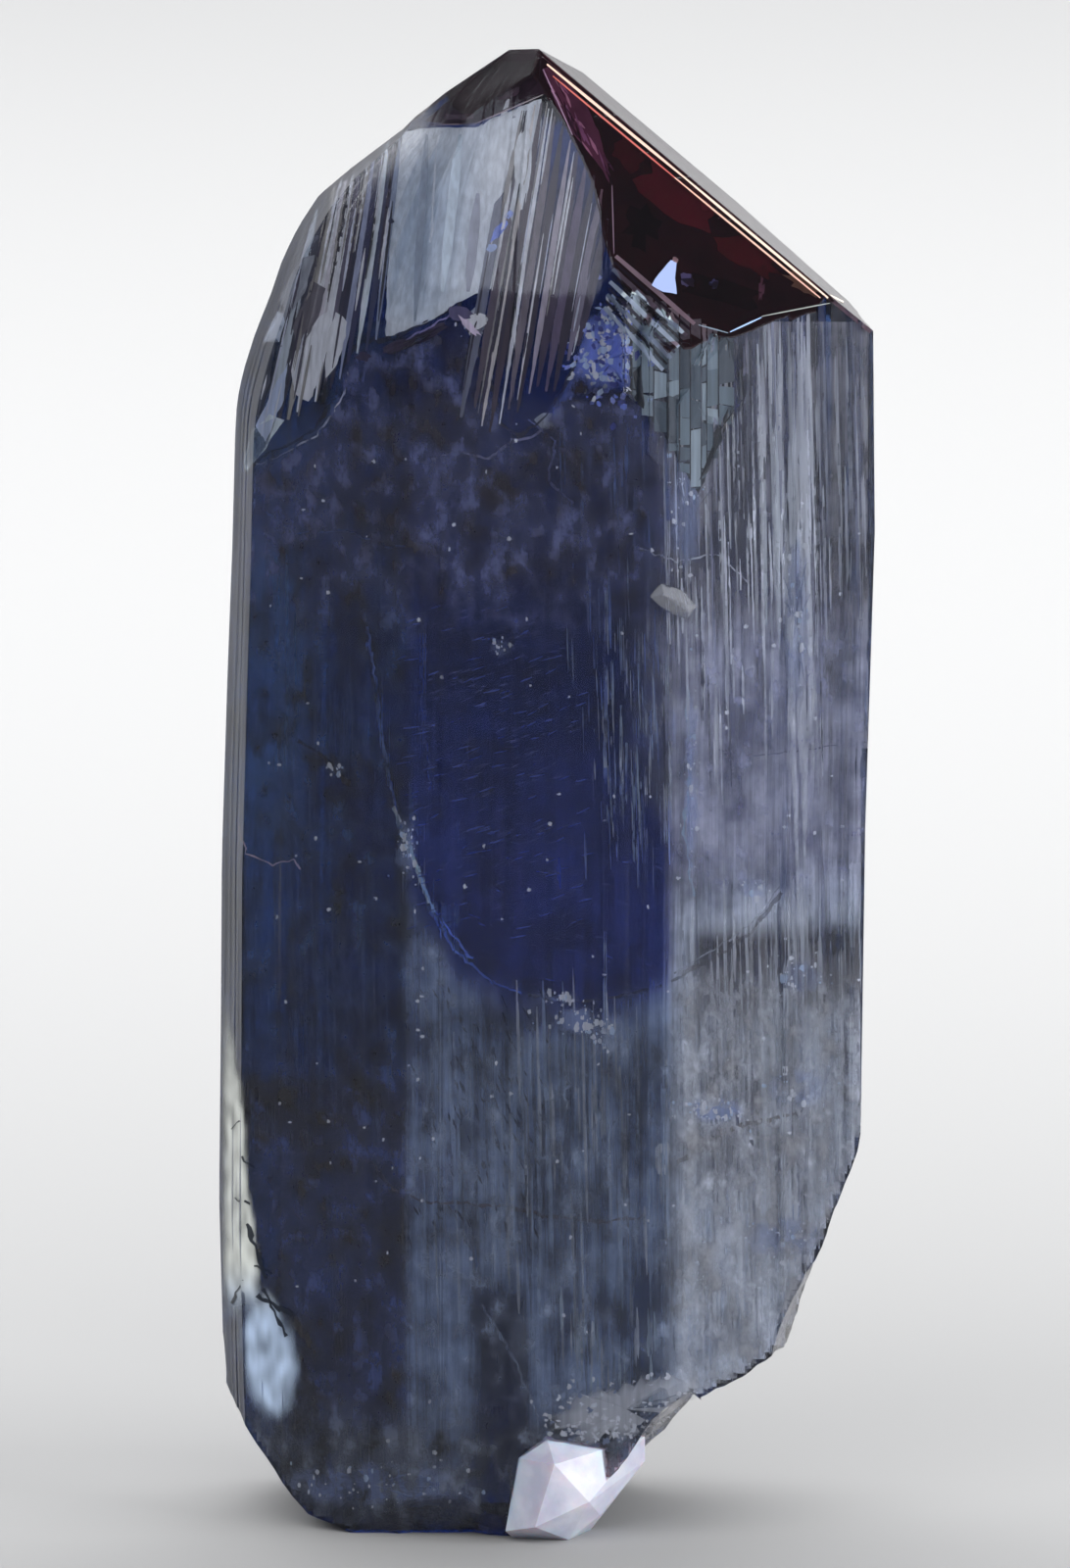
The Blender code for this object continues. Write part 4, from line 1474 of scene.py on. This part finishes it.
    def add_heart_crack(self):
        """The crack's own face dips into the crystal, and shows as a bright line with a soft inner side.

        Its tone is a painted sheen, brightest near px 425.
        """
        sheets = Sheets()
        stations = [(px, between(HEART_CRACK, px)) for px in range(372, 792, 8)]
        for (px, py), (next_px, next_py) in zip(stations, stations[1:]):
            bright = max(0.0, 1 - abs(px - 425) / 60)
            cover = 0.20 + 0.5 * bright
            tone = tone_of("8FA3C8", cover)
            inner = tone_of("3C4C80", 0.15 * cover)
            sheets.face(
                (
                    seen(px, py, 0.9), seen(next_px, next_py, 0.9),
                    seen(next_px + 5, next_py - 16, 2.8), seen(px + 5, py - 16, 2.8),
                ),
                (tone, tone, inner, inner),
            )
        for seed, (start, end, half, code) in enumerate(HEART_GLINTS, 80):
            sheets.crack([start, end], half, 0.22, tone_of(code, 0.8), seed)
        sheets.finish("heart_crack", cleavage_films_and_painted_reflections())

    def add_cracks(self):
        """The jagged cracks all over the front."""
        sheets = Sheets()
        for index, (line, half, depth, code, cover) in enumerate(CRACKS):
            sheets.crack(line, half, depth, tone_of(code, cover), index)
        sheets.finish("inner_cracks", cleavage_films_and_painted_reflections())


# Where light comes in through the low left edge, painted on the skin: the strip's inner side at each
# height, the middle of the lens that it ends in, the lens's half width and half height, and its lean.
LIT_FRAME = (222, 980, 312, 1460)
LIT_STRIP = [(980, 231), (1050, 239), (1118, 249), (1200, 254), (1262, 262), (1300, 268)]
LENS_MIDDLE = (274, 1384)
LENS_HALF_WIDTH, LENS_HALF_HEIGHT = 29, 66
LENS_LEAN = 0.10
# Dark marks across it: start, end and half width.
EDGE_MARKS = [
    ((252, 1248), (274, 1310), 3.0), ((262, 1322), (303, 1344), 3.5), ((246, 1180), (266, 1196), 1.6),
    ((258, 1290), (284, 1300), 2.0), ((270, 1316), (296, 1370), 2.4), ((240, 1222), (262, 1230), 1.2),
    ((236, 1150), (252, 1140), 1.0), ((238, 1330), (250, 1300), 1.4),
]


class TANZANITE_OT_painted_edge_light(bpy.types.Operator):
    """Lays the painted light of the low left edge: a bright strip and lens"""

    bl_idname = "tanzanite.worn_edges"
    bl_label = "Painted edge light"

    def execute(self, context):
        sheets = Sheets()
        sheets.veil(*LIT_FRAME, 4, self.lit_edge)
        for start, end, half in EDGE_MARKS:
            sheets.crack([start, end], half, 3 * ON_SKIN, tone_of("1E2430", 0.85, 1.0), half)
        sheets.finish("worn_edges", painted_light_film())
        return {"FINISHED"}

    def lit_edge(self, px, py):
        """Depth, tone and cover of the light in the edge: a strip that ends in a rounded lens."""
        drift = 5 * noise.noise(Vector((px / 14, py / 30, 5)))
        inner = between(LIT_STRIP, py) + drift
        strip = ramp(inner - px, 0, 7) * ramp(py, 1000, 1130) * (1 - ramp(py, 1306, 1352)) * 0.88
        down = py - LENS_MIDDLE[1]
        across = px - LENS_MIDDLE[0] - LENS_LEAN * down
        off = math.hypot(across / LENS_HALF_WIDTH, down / LENS_HALF_HEIGHT) + 0.03 * drift
        lens = 1 - ramp(off, 0.62, 1.1)
        grain = 0.85 + 0.6 * noise.noise(Vector((px / 9, py / 22, 8)))
        tone = Vector(hex_to_linear("E4E8E2")).lerp(Vector(hex_to_linear("B8CCE8")), ramp(py, 1280, 1350))
        return ON_SKIN, (*(tone * grain), max(strip, 0.9 * lens) * ramp(px, 225, 235))


# Jagged cracks: their (px, py) points, half width, depth, tone and cover. The pale blue and whitish ones on
# the heart crack paint its sheen.
CRACKS = [
    (SHOULDER_CRACK[:10], 2.6, 0.2, "120E18", 0.95),
    (SHOULDER_CRACK[9:18], 2.2, 0.2, "140F1C", 0.9),
    ([(262, 476), (292, 462), (324, 446), (350, 408), (358, 374)], 1.0, 0.18, "A8A4B8", 0.8),
    ([(408, 352), (440, 336), (464, 322)], 1.2, 0.18, "8A7C9A", 0.8),
    ([(440, 470), (470, 462), (500, 470), (520, 452), (548, 446), (572, 420)], 1.6, 0.3, "9C96C8", 0.6),
    ([(372, 366), (396, 392), (402, 430), (396, 470)], 1.3, 0.3, "15142A", 0.8),
    ([(250, 560), (290, 576), (330, 581), (352, 612), (378, 642)], 1.3, 0.3, "0E1224", 0.7),
    ([(268, 520), (300, 545), (352, 541), (400, 560), (430, 552)], 1.2, 0.3, "5A6A8E", 0.5),
    ([(262, 505), (300, 498), (340, 510), (388, 500), (430, 515)], 1.1, 0.3, "101428", 0.7),
    ([(304, 756), (330, 772), (352, 796), (364, 801)], 3.0, 0.25, "170D14", 0.95),
    ([(240, 830), (252, 870), (280, 884), (300, 876), (310, 890)], 0.9, 0.15, "B09090", 0.7),
    ([(290, 832), (310, 850), (330, 842), (346, 862)], 1.4, 0.3, "0E1020", 0.8),
    ([(250, 1132), (282, 1120), (320, 1146), (352, 1150), (374, 1172)], 5.0, 0.3, "181620", 0.8),
    ([(262, 1110), (290, 1098), (330, 1110), (356, 1130)], 3.0, 0.3, "2A2228", 0.6),
    (
        [(376, 1180), (400, 1212), (440, 1226), (500, 1228), (560, 1240), (620, 1246), (662, 1240)],
        2.0, 0.2, "4A4244", 0.7,
    ),
    ([(690, 1188), (740, 1152), (790, 1140), (856, 1130)], 3.0, 0.18, "544C48", 0.6),
    ([(684, 1000), (720, 982), (762, 955), (802, 905)], 2.6, 0.18, "38343A", 0.55),
    ([(688, 992), (722, 972), (764, 944), (800, 900)], 1.2, 0.16, "A2A4B4", 0.3),
    ([(376, 640), (384, 700), (394, 770), (410, 852)], 1.6, 0.35, "5468A8", 0.8),
    ([(402, 824), (414, 858), (428, 894), (440, 928)], 2.6, 0.3, "9AB0DC", 0.9),
    ([(408, 846), (420, 866), (426, 886)], 2.4, 0.25, "D0DCF0", 0.9),
    ([(440, 928), (462, 968), (500, 1000), (540, 1016)], 1.8, 0.35, "4C66B0", 0.8),
    ([(540, 1016), (560, 1018), (600, 1022), (650, 1012), (684, 1003)], 2.0, 0.3, "20222E", 0.85),
    ([(520, 1012), (516, 1060), (524, 1110), (520, 1160)], 1.6, 0.35, "20284A", 0.7),
    ([(434, 648), (430, 720), (440, 800), (436, 880)], 1.0, 0.4, "2A3A70", 0.6),
    ([(650, 560), (690, 574), (730, 566), (768, 600)], 1.2, 0.2, "C0C2CE", 0.6),
    ([(540, 430), (566, 452), (560, 492), (590, 520)], 1.8, 0.3, "8084C0", 0.5),
    ([(480, 520), (530, 540), (560, 590), (552, 640)], 1.3, 0.35, "20264A", 0.7),
    ([(492, 1330), (522, 1380), (548, 1440), (552, 1500)], 1.8, 0.2, "8E98AC", 0.3),
    ([(250, 1440), (290, 1490), (340, 1520), (400, 1540), (470, 1536)], 2.2, 0.2, "20222A", 0.7),
    ([(700, 700), (704, 780), (698, 850), (708, 920)], 2.2, 0.2, "8C9CB8", 0.7),
    ([(730, 765), (760, 772), (800, 768), (860, 760)], 1.2, 0.2, "6E6A78", 0.5),
]

# Clusters of sparkles on small cracks: middle, spread across and down, and number.
SPARKLES = [
    (590, 1040, 14, 9, 50), (572, 1018, 12, 3, 18), (612, 1058, 7, 9, 20), (728, 1132, 18, 9, 44),
    (818, 996, 14, 10, 26), (415, 868, 6, 22, 30), (512, 660, 7, 5, 12), (486, 332, 9, 8, 26),
    (812, 1110, 20, 12, 20), (800, 1262, 26, 14, 24), (380, 1514, 60, 14, 40), (768, 905, 12, 6, 14),
    (705, 800, 4, 60, 26), (700, 520, 10, 40, 30), (812, 640, 8, 60, 20), (345, 786, 7, 4, 12),
]
# The slant of the growth lines, as the angle of their run from the horizontal.
UPRIGHT = 1.545
# Fields of needles and growth lines, and on the right face light upright lines that paint the sheen of its
# striae: their frame of pixels, number, shortest and longest, half width, slant, tones and cover.
DASH_AND_SHEEN_FIELDS = [
    (405, 600, 600, 960, 480, (6, 17), 0.60, -0.32, ("03061C", "2C3870", "46538A"), 0.66),
    (470, 840, 680, 1010, 120, (6, 15), 0.52, 0.25, ("03061C", "2A3A78", "3E4E8C"), 0.52),
    (410, 1000, 560, 1280, 220, (6, 15), 0.9, 1.2, ("0A1024", "10162A"), 0.95),
    (670, 460, 850, 780, 90, (30, 160), 1.0, UPRIGHT, ("ECECF0", "C8C8D4", "14182A"), 0.95),
    (560, 560, 700, 890, 44, (12, 80), 0.5, UPRIGHT, ("6E7CA4", "8E9CBC"), 0.45),
    (600, 620, 690, 885, 130, (8, 60), 0.38, UPRIGHT, ("6E7CA4", "8E9CBC", "A4B0C8"), 0.55),
    (
        690, 350, 888, 620, 150, (60, 240), 1.2, UPRIGHT,
        ("B4B4BC", "1E2236", "12162A", "7E7E8C", "E0DEE0"), 0.55,
    ),
    (
        690, 940, 888, 1330, 190, (60, 320), 1.3, UPRIGHT,
        ("C4C6D0", "2E3450", "1E2440", "A2A4B2", "E4E4E8"), 0.45,
    ),
    (800, 430, 828, 830, 26, (120, 330), 2.2, UPRIGHT, ("D4CCD2", "F0E8EC"), 0.75),
    (766, 335, 796, 600, 10, (80, 200), 1.8, UPRIGHT, ("A4A8D8", "D4D4EC"), 0.7),
    (745, 345, 768, 560, 10, (80, 200), 3.0, UPRIGHT, ("181C34",), 0.7),
    (420, 1030, 690, 1320, 200, (30, 180), 1.1, UPRIGHT, ("A8B4C0", "303A50", "8894A4", "222A40"), 0.45),
    (250, 500, 415, 1440, 70, (60, 300), 1.2, UPRIGHT, ("2C4468", "0E1222", "3C5078"), 0.4),
    (570, 420, 680, 640, 60, (20, 90), 1.0, UPRIGHT, ("5A6E98", "1A2238"), 0.5),
    (560, 1320, 690, 1440, 60, (15, 60), 1.2, UPRIGHT, ("C4CCD8", "98A2B4", "2E3446"), 0.6),
    (690, 1200, 850, 1400, 60, (30, 120), 1.5, UPRIGHT, ("C8D0DC", "E8ECF2", "7A8496"), 0.5),
]
# The bruised lilac patch between the plates and the shoulder.
BRUISE_OUTLINE = [
    (598, 326), (638, 314), (658, 340), (644, 372), (654, 402), (604, 404), (566, 418), (586, 372),
]
# The crumbly pale zone over the foot crystal and along the lower break.
CRUMBLY_OUTLINE = [
    (556, 1462), (560, 1440), (590, 1422), (640, 1412), (700, 1396), (716, 1410), (690, 1462), (600, 1470),
]
# Wine red, black and pale spots: middle, half width, half height and tone.
BODY_SPOTS = [
    (506, 498, 22, 16, "2A0E1C"), (330, 775, 20, 6, "1C1218"), (486, 330, 12, 11, "E6C8C0"),
    (560, 430, 14, 8, "A9A6D0"), (764, 1342, 9, 7, "DCE2EA"), (676, 1180, 8, 16, "C6CEDC"),
    (500, 488, 10, 14, "1E080E"), (520, 506, 14, 7, "260A12"),
]
# The dark joints between the growth plates' blocks, the field that the blocks fill, and its lower end.
JOINTS_OUTLINE = [(642, 298), (700, 322), (744, 346), (744, 430), (712, 505), (680, 450), (642, 404)]
BLOCKS_LEFT, BLOCKS_RIGHT = 645.0, 742
BLOCKS_FOOT = [(640, 400), (680, 450), (712, 505), (744, 430)]


class TANZANITE_OT_small_inclusions_and_glints(bpy.types.Operator):
    """Scatters the specks, dashes, crumbs and dark spots, with painted sparkles and streaks of sheen"""

    bl_idname = "tanzanite.small_inclusions"
    bl_label = "Small inclusions and glints"

    def execute(self, context):
        rng = random.Random(88)
        sheets = Sheets()
        self.add_dashes_and_sheen(sheets, rng)
        self.add_specks(sheets, rng)
        self.add_plate_faces(sheets, rng)
        self.add_bruise(sheets, rng)
        self.add_crumbs(sheets, rng)
        self.add_sparkles(sheets, rng)
        for seed, (px, py, half_width, half_height, code) in enumerate(BODY_SPOTS, 30):
            sheets.blot(px, py, half_width, half_height, 0.3, tone_of(code, 0.8), seed, 0.6, 12)
        sheets.finish("small_inclusions", cleavage_films_and_painted_reflections())
        return {"FINISHED"}

    def add_dashes_and_sheen(self, sheets, rng):
        """Needles, growth lines and painted streaks of sheen. The needles vary a little in slant, and the
        upright lines don't.
        """
        for left, top, right, bottom, count, lengths, half, slant, codes, cover in DASH_AND_SHEEN_FIELDS:
            for _ in range(count):
                px = left + (right - left) * rng.betavariate(1.5, 1.5)
                py = top + (bottom - top) * rng.betavariate(1.5, 1.5)
                length = rng.uniform(*lengths)
                tone = tone_of(rng.choice(codes), cover * rng.uniform(0.5, 1.0))
                turn = slant + (rng.uniform(-0.18, 0.18) if slant != UPRIGHT else 0.0)
                wide = half * rng.uniform(0.6, 1.5)
                run = Vector((math.cos(turn), math.sin(turn))) * length / 2
                sheets.line((px - run.x, py - run.y), (px + run.x, py + run.y), wide, 0.18, tone)

    def add_specks(self, sheets, rng):
        """Fine pale specks all over the body."""
        for _ in range(130):
            px, py = rng.uniform(262, 880), rng.uniform(420, 1480)
            half_width, half_height = rng.uniform(0.8, 2.2), rng.uniform(0.8, 2.2)
            sheets.blot(px, py, half_width, half_height, 0.12, tone_of("D8DCE8", 0.9), py)

    def add_bruise(self, sheets, rng):
        """The bruised lilac patch and its crumbs."""
        sheets.glow(BRUISE_OUTLINE, 0.2, tone_of("5C6AC4", 0.95), 4.0, 51)
        for index in range(300):
            px, py = rng.gauss(620, 21), rng.gauss(362, 26)
            code = rng.choice(("8A96E4", "5A68C4", "C8CEF8", "2A3068", "DCD8F4", "7078D0"))
            half_width, half_height = rng.uniform(1.0, 4.5), rng.uniform(1.0, 4.0)
            depth, turn = 0.12 + 0.01 * (index % 7), rng.uniform(0, 3)
            sheets.blot(px, py, half_width, half_height, depth, tone_of(code, 0.9), index, 0.7, 6, turn)

    def add_crumbs(self, sheets, rng):
        """The crumbly pale zone, denser towards its foot."""
        sheets.glow(CRUMBLY_OUTLINE, 0.10, tone_of("B4B8C8", 0.62), 16.0, 52)
        for index in range(150):
            px = rng.uniform(556, 700)
            py = rng.triangular(1400, 1472, 1468)
            code = rng.choice(("C8CCDA", "E6E8F0", "A4ACBC", "5A6274"))
            half_width, half_height = rng.uniform(0.8, 3), rng.uniform(0.8, 3)
            sheets.blot(px, py, half_width, half_height, 0.08, tone_of(code, 0.8), index + 0.5, 0.7, 7)

    def add_sparkles(self, sheets, rng):
        """Clusters of sparkles, each in a faint haze."""
        for middle_px, middle_py, spread_x, spread_y, count in SPARKLES:
            haze = [
                (middle_px + 1.7 * spread_x * math.cos(turn), middle_py + 1.7 * spread_y * math.sin(turn))
                for turn in (0.0, 0.8, 1.6, 2.4, 3.1, 3.9, 4.7, 5.5)
            ]
            sheets.glow(haze, 0.16, tone_of("707C9C", 0.008 * count + 0.1), 7.0, middle_px)
            for index in range(count):
                px, py = rng.gauss(middle_px, spread_x), rng.gauss(middle_py, spread_y)
                code = rng.choice(("F4F6FC", "E4E8F0", "8E9AC0", "B8B4BC"))
                half_width = rng.uniform(0.6, 1.3) + 2.2 * rng.random() ** 4
                half_height = half_width * rng.uniform(0.8, 2.0)
                sheets.blot(px, py, half_width, half_height, 0.13, tone_of(code, 0.7), index, 0.6, 6)

    def add_plate_faces(self, sheets, rng):
        """The stepped blocks of the growth plates, greenish grey with dark joints."""
        sheets.patch(JOINTS_OUTLINE, 0.15, tone_of("0E141C", 0.9), 2.0, 61)
        px = BLOCKS_LEFT
        while px < BLOCKS_RIGHT:
            width = rng.uniform(5, 17)
            middle = px + width / 2
            bottom = between(BLOCKS_FOOT, middle)
            py = 292 + 0.52 * (middle - 640)
            while py < bottom:
                height = rng.uniform(12, 62)
                low = min(py + height, bottom)
                lean = rng.uniform(-3, 3)
                right = px + width - 1.2
                outline = [(px, py), (right, py + rng.uniform(-3, 3)), (right, low + lean), (px, low)]
                code = rng.choice(("5E6C72", "4A565E", "76848A", "39434B", "8E9A9E", "54626A"))
                sheets.patch(outline, 0.12, tone_of(code, 0.92, 0.7 * INNER_GAIN), 0.3, px)
                py = low + rng.uniform(0.5, 2)
            px += width


# The splinter's corners, as shares of its length, width and how far it stands out.
SPLINTER_CORNERS = [
    (-0.50, -0.25, 0.0), (-0.42, 0.42, 0.0), (0.10, 0.50, 0.0), (0.52, 0.20, 0.0), (0.46, -0.40, 0.0),
    (-0.05, -0.50, 0.0), (-0.30, 0.05, 1.0), (0.20, 0.12, 1.0), (0.36, -0.12, 0.8),
]
SPLINTER_TURN = 12


class TANZANITE_OT_pale_crystal(bpy.types.Operator):
    """Builds the small pale crystal in the foot and the pale splinter"""

    bl_idname = "tanzanite.pale_crystal"
    bl_label = "Pale crystal"

    def execute(self, context):
        crystal = finish_object(pale_form(), "pale_crystal")
        splinter = finish_object(self.splinter_form(), "pale_splinter")
        for piece, material in ((crystal, pale_mineral()), (splinter, clear_mineral())):
            piece.data.materials.append(material)
            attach(piece, "root")
        return {"FINISHED"}

    def splinter_form(self):
        """A thin chip with slanting ends and a ridge down its middle."""
        centre, length, width, stand_out, slant = SPLINTER
        mesh = bmesh.new()
        for x, z, out in SPLINTER_CORNERS:
            mesh.verts.new((x * length, -out * stand_out, z * width))
            if not out:
                mesh.verts.new((x * length * 0.9, stand_out, z * width * 0.9))
        bmesh.ops.convex_hull(mesh, input=mesh.verts[:])
        turned = Matrix.Rotation(math.radians(SPLINTER_TURN), 4, "Z")
        slanted = Matrix.Rotation(math.radians(slant), 4, "Y")
        mesh.transform(Matrix.Translation(centre) @ (turned @ slanted))
        return mesh


# Each soft box: its name, where it hangs, what it points at, its width and height in metres, and its power
# in watts.
SOFT_BOXES = [
    ("soft_box_back", (0, 0.175, 0.14), (0, 0.18, 0), 0.50, 0.25, 1.18),
    ("soft_box_key", (-0.14, -0.46, 0.42), (0, 0, 0.02), 0.80, 0.56, 3.3),
    ("soft_box_right", (0.30, -0.13, 0.10), (0, 0, 0.01), 0.20, 0.16, 1.10),
]
# Half the floor's width and how far back its middle lies, in metres.
FLOOR_HALF = 0.6
FLOOR_BACK = 0.25


class TANZANITE_OT_stage(bpy.types.Operator):
    """Builds the pale floor, the soft lights and the camera"""

    bl_idname = "tanzanite.stage"
    bl_label = "Stage"

    def execute(self, context):
        settings = context.scene.tanzanite
        mesh = bmesh.new()
        bmesh.ops.create_grid(mesh, x_segments=8, y_segments=8, size=FLOOR_HALF)
        data = bpy.data.meshes.new("floor")
        mesh.to_mesh(data)
        mesh.free()
        floor = bpy.data.objects.new("floor", data)
        floor.location = (0, FLOOR_BACK, 0)
        data.materials.append(matte_floor(settings))
        context.scene.collection.objects.link(floor)
        self.add_world(context.scene)
        for soft_box in SOFT_BOXES:
            self.add_soft_box(context.scene, *soft_box)
        self.add_camera(context.scene)
        return {"FINISHED"}

    def add_world(self, scene):
        """The light of the room, dim in front of the crystal and bright behind it."""
        world = bpy.data.worlds.new("pale_room")
        world.use_nodes = True
        tree = world.node_tree
        tree.nodes.clear()
        output = add_node(tree, "ShaderNodeOutputWorld")
        place = add_node(tree, "ShaderNodeTexCoord")
        sides = add_node(tree, "ShaderNodeSeparateXYZ", {}, {0: place.outputs["Generated"]})
        strength = add_node(
            tree,
            "ShaderNodeMapRange",
            {"From Min": -0.3, "From Max": 0.7, "To Min": 0.22, "To Max": 0.65},
            {"Value": sides.outputs["Y"]},
        )
        light = add_node(
            tree,
            "ShaderNodeBackground",
            {"Color": (*hex_to_linear("F7F9FF"), 1)},
            {"Strength": strength.outputs[0]},
        )
        tree.links.new(light.outputs[0], output.inputs["Surface"])
        scene.world = world

    def add_soft_box(self, scene, name, place, aim, width, height, power):
        """A soft box that points at its aim."""
        light = bpy.data.lights.new(name, "AREA")
        light.shape = "RECTANGLE"
        light.size = width
        light.size_y = height
        light.energy = power
        obj = bpy.data.objects.new(name, light)
        obj.location = place
        obj.rotation_euler = (Vector(aim) - Vector(place)).to_track_quat("-Z", "Y").to_euler()
        scene.collection.objects.link(obj)

    def add_camera(self, scene):
        """The camera, at the photograph's height angle and far enough away to see the ribs as parallel."""
        lens = bpy.data.cameras.new("photo_camera")
        lens.sensor_fit = "VERTICAL"
        lens.sensor_height = 24.0
        lens.lens = lens.sensor_height * CAMERA_DISTANCE / (PHOTO_HEIGHT * MM_PER_PIXEL)
        lens.clip_start = 0.01
        camera = bpy.data.objects.new("photo_camera", lens)
        angle = math.radians(CAMERA_ANGLE)
        away = Vector((0, -math.cos(angle), math.sin(angle))) * CAMERA_DISTANCE
        # The middle of the frame, as a place in the upright plane through the crystal's foot.
        across = (PHOTO_WIDTH / 2 - PHOTO_FOOT[0]) * MM_PER_PIXEL
        up = (PHOTO_FOOT[1] - PHOTO_HEIGHT / 2) * MM_PER_PIXEL / math.cos(angle)
        camera.location = (Vector((across, 0, up)) + Vector(TO_ORIGIN) + away) * MM
        camera.rotation_euler = (math.radians(90) - angle, 0, 0)
        scene.collection.objects.link(camera)
        scene.camera = camera
        scene.view_settings.view_transform = "Standard"


class TANZANITE_PT_sidebar(bpy.types.Panel):
    """Lists the pieces of the crystal and its settings"""

    bl_idname = "TANZANITE_PT_sidebar"
    bl_label = "Tanzanite crystal"
    bl_space_type = "VIEW_3D"
    bl_region_type = "UI"
    bl_category = "Tanzanite"

    def draw(self, context):
        for operator in OPERATORS:
            self.layout.operator(operator.bl_idname)
        for name in TanzaniteSettings.__annotations__:
            self.layout.prop(context.scene.tanzanite, name)


OPERATORS = (
    TANZANITE_OT_blue_crystal,
    TANZANITE_OT_pale_crystal,
    TANZANITE_OT_shoulder_reflections,
    TANZANITE_OT_burgundy_crown,
    TANZANITE_OT_healed_fractures,
    TANZANITE_OT_small_inclusions_and_glints,
    TANZANITE_OT_painted_edge_light,
    TANZANITE_OT_stage,
)
CLASSES = (TanzaniteSettings, *OPERATORS, TANZANITE_PT_sidebar)


def register():
    for cls in CLASSES:
        bpy.utils.register_class(cls)
    bpy.types.Scene.tanzanite = bpy.props.PointerProperty(type=TanzaniteSettings)


def unregister():
    del bpy.types.Scene.tanzanite
    for cls in reversed(CLASSES):
        bpy.utils.unregister_class(cls)


def main():
    register()
    bpy.ops.tanzanite.blue_crystal()
    bpy.ops.tanzanite.pale_crystal()
    bpy.ops.tanzanite.shoulder_mirrors()
    bpy.ops.tanzanite.burgundy_crown()
    bpy.ops.tanzanite.healed_fractures()
    bpy.ops.tanzanite.small_inclusions()
    bpy.ops.tanzanite.worn_edges()
    bpy.ops.tanzanite.stage()


if __name__ == "__main__":
    main()
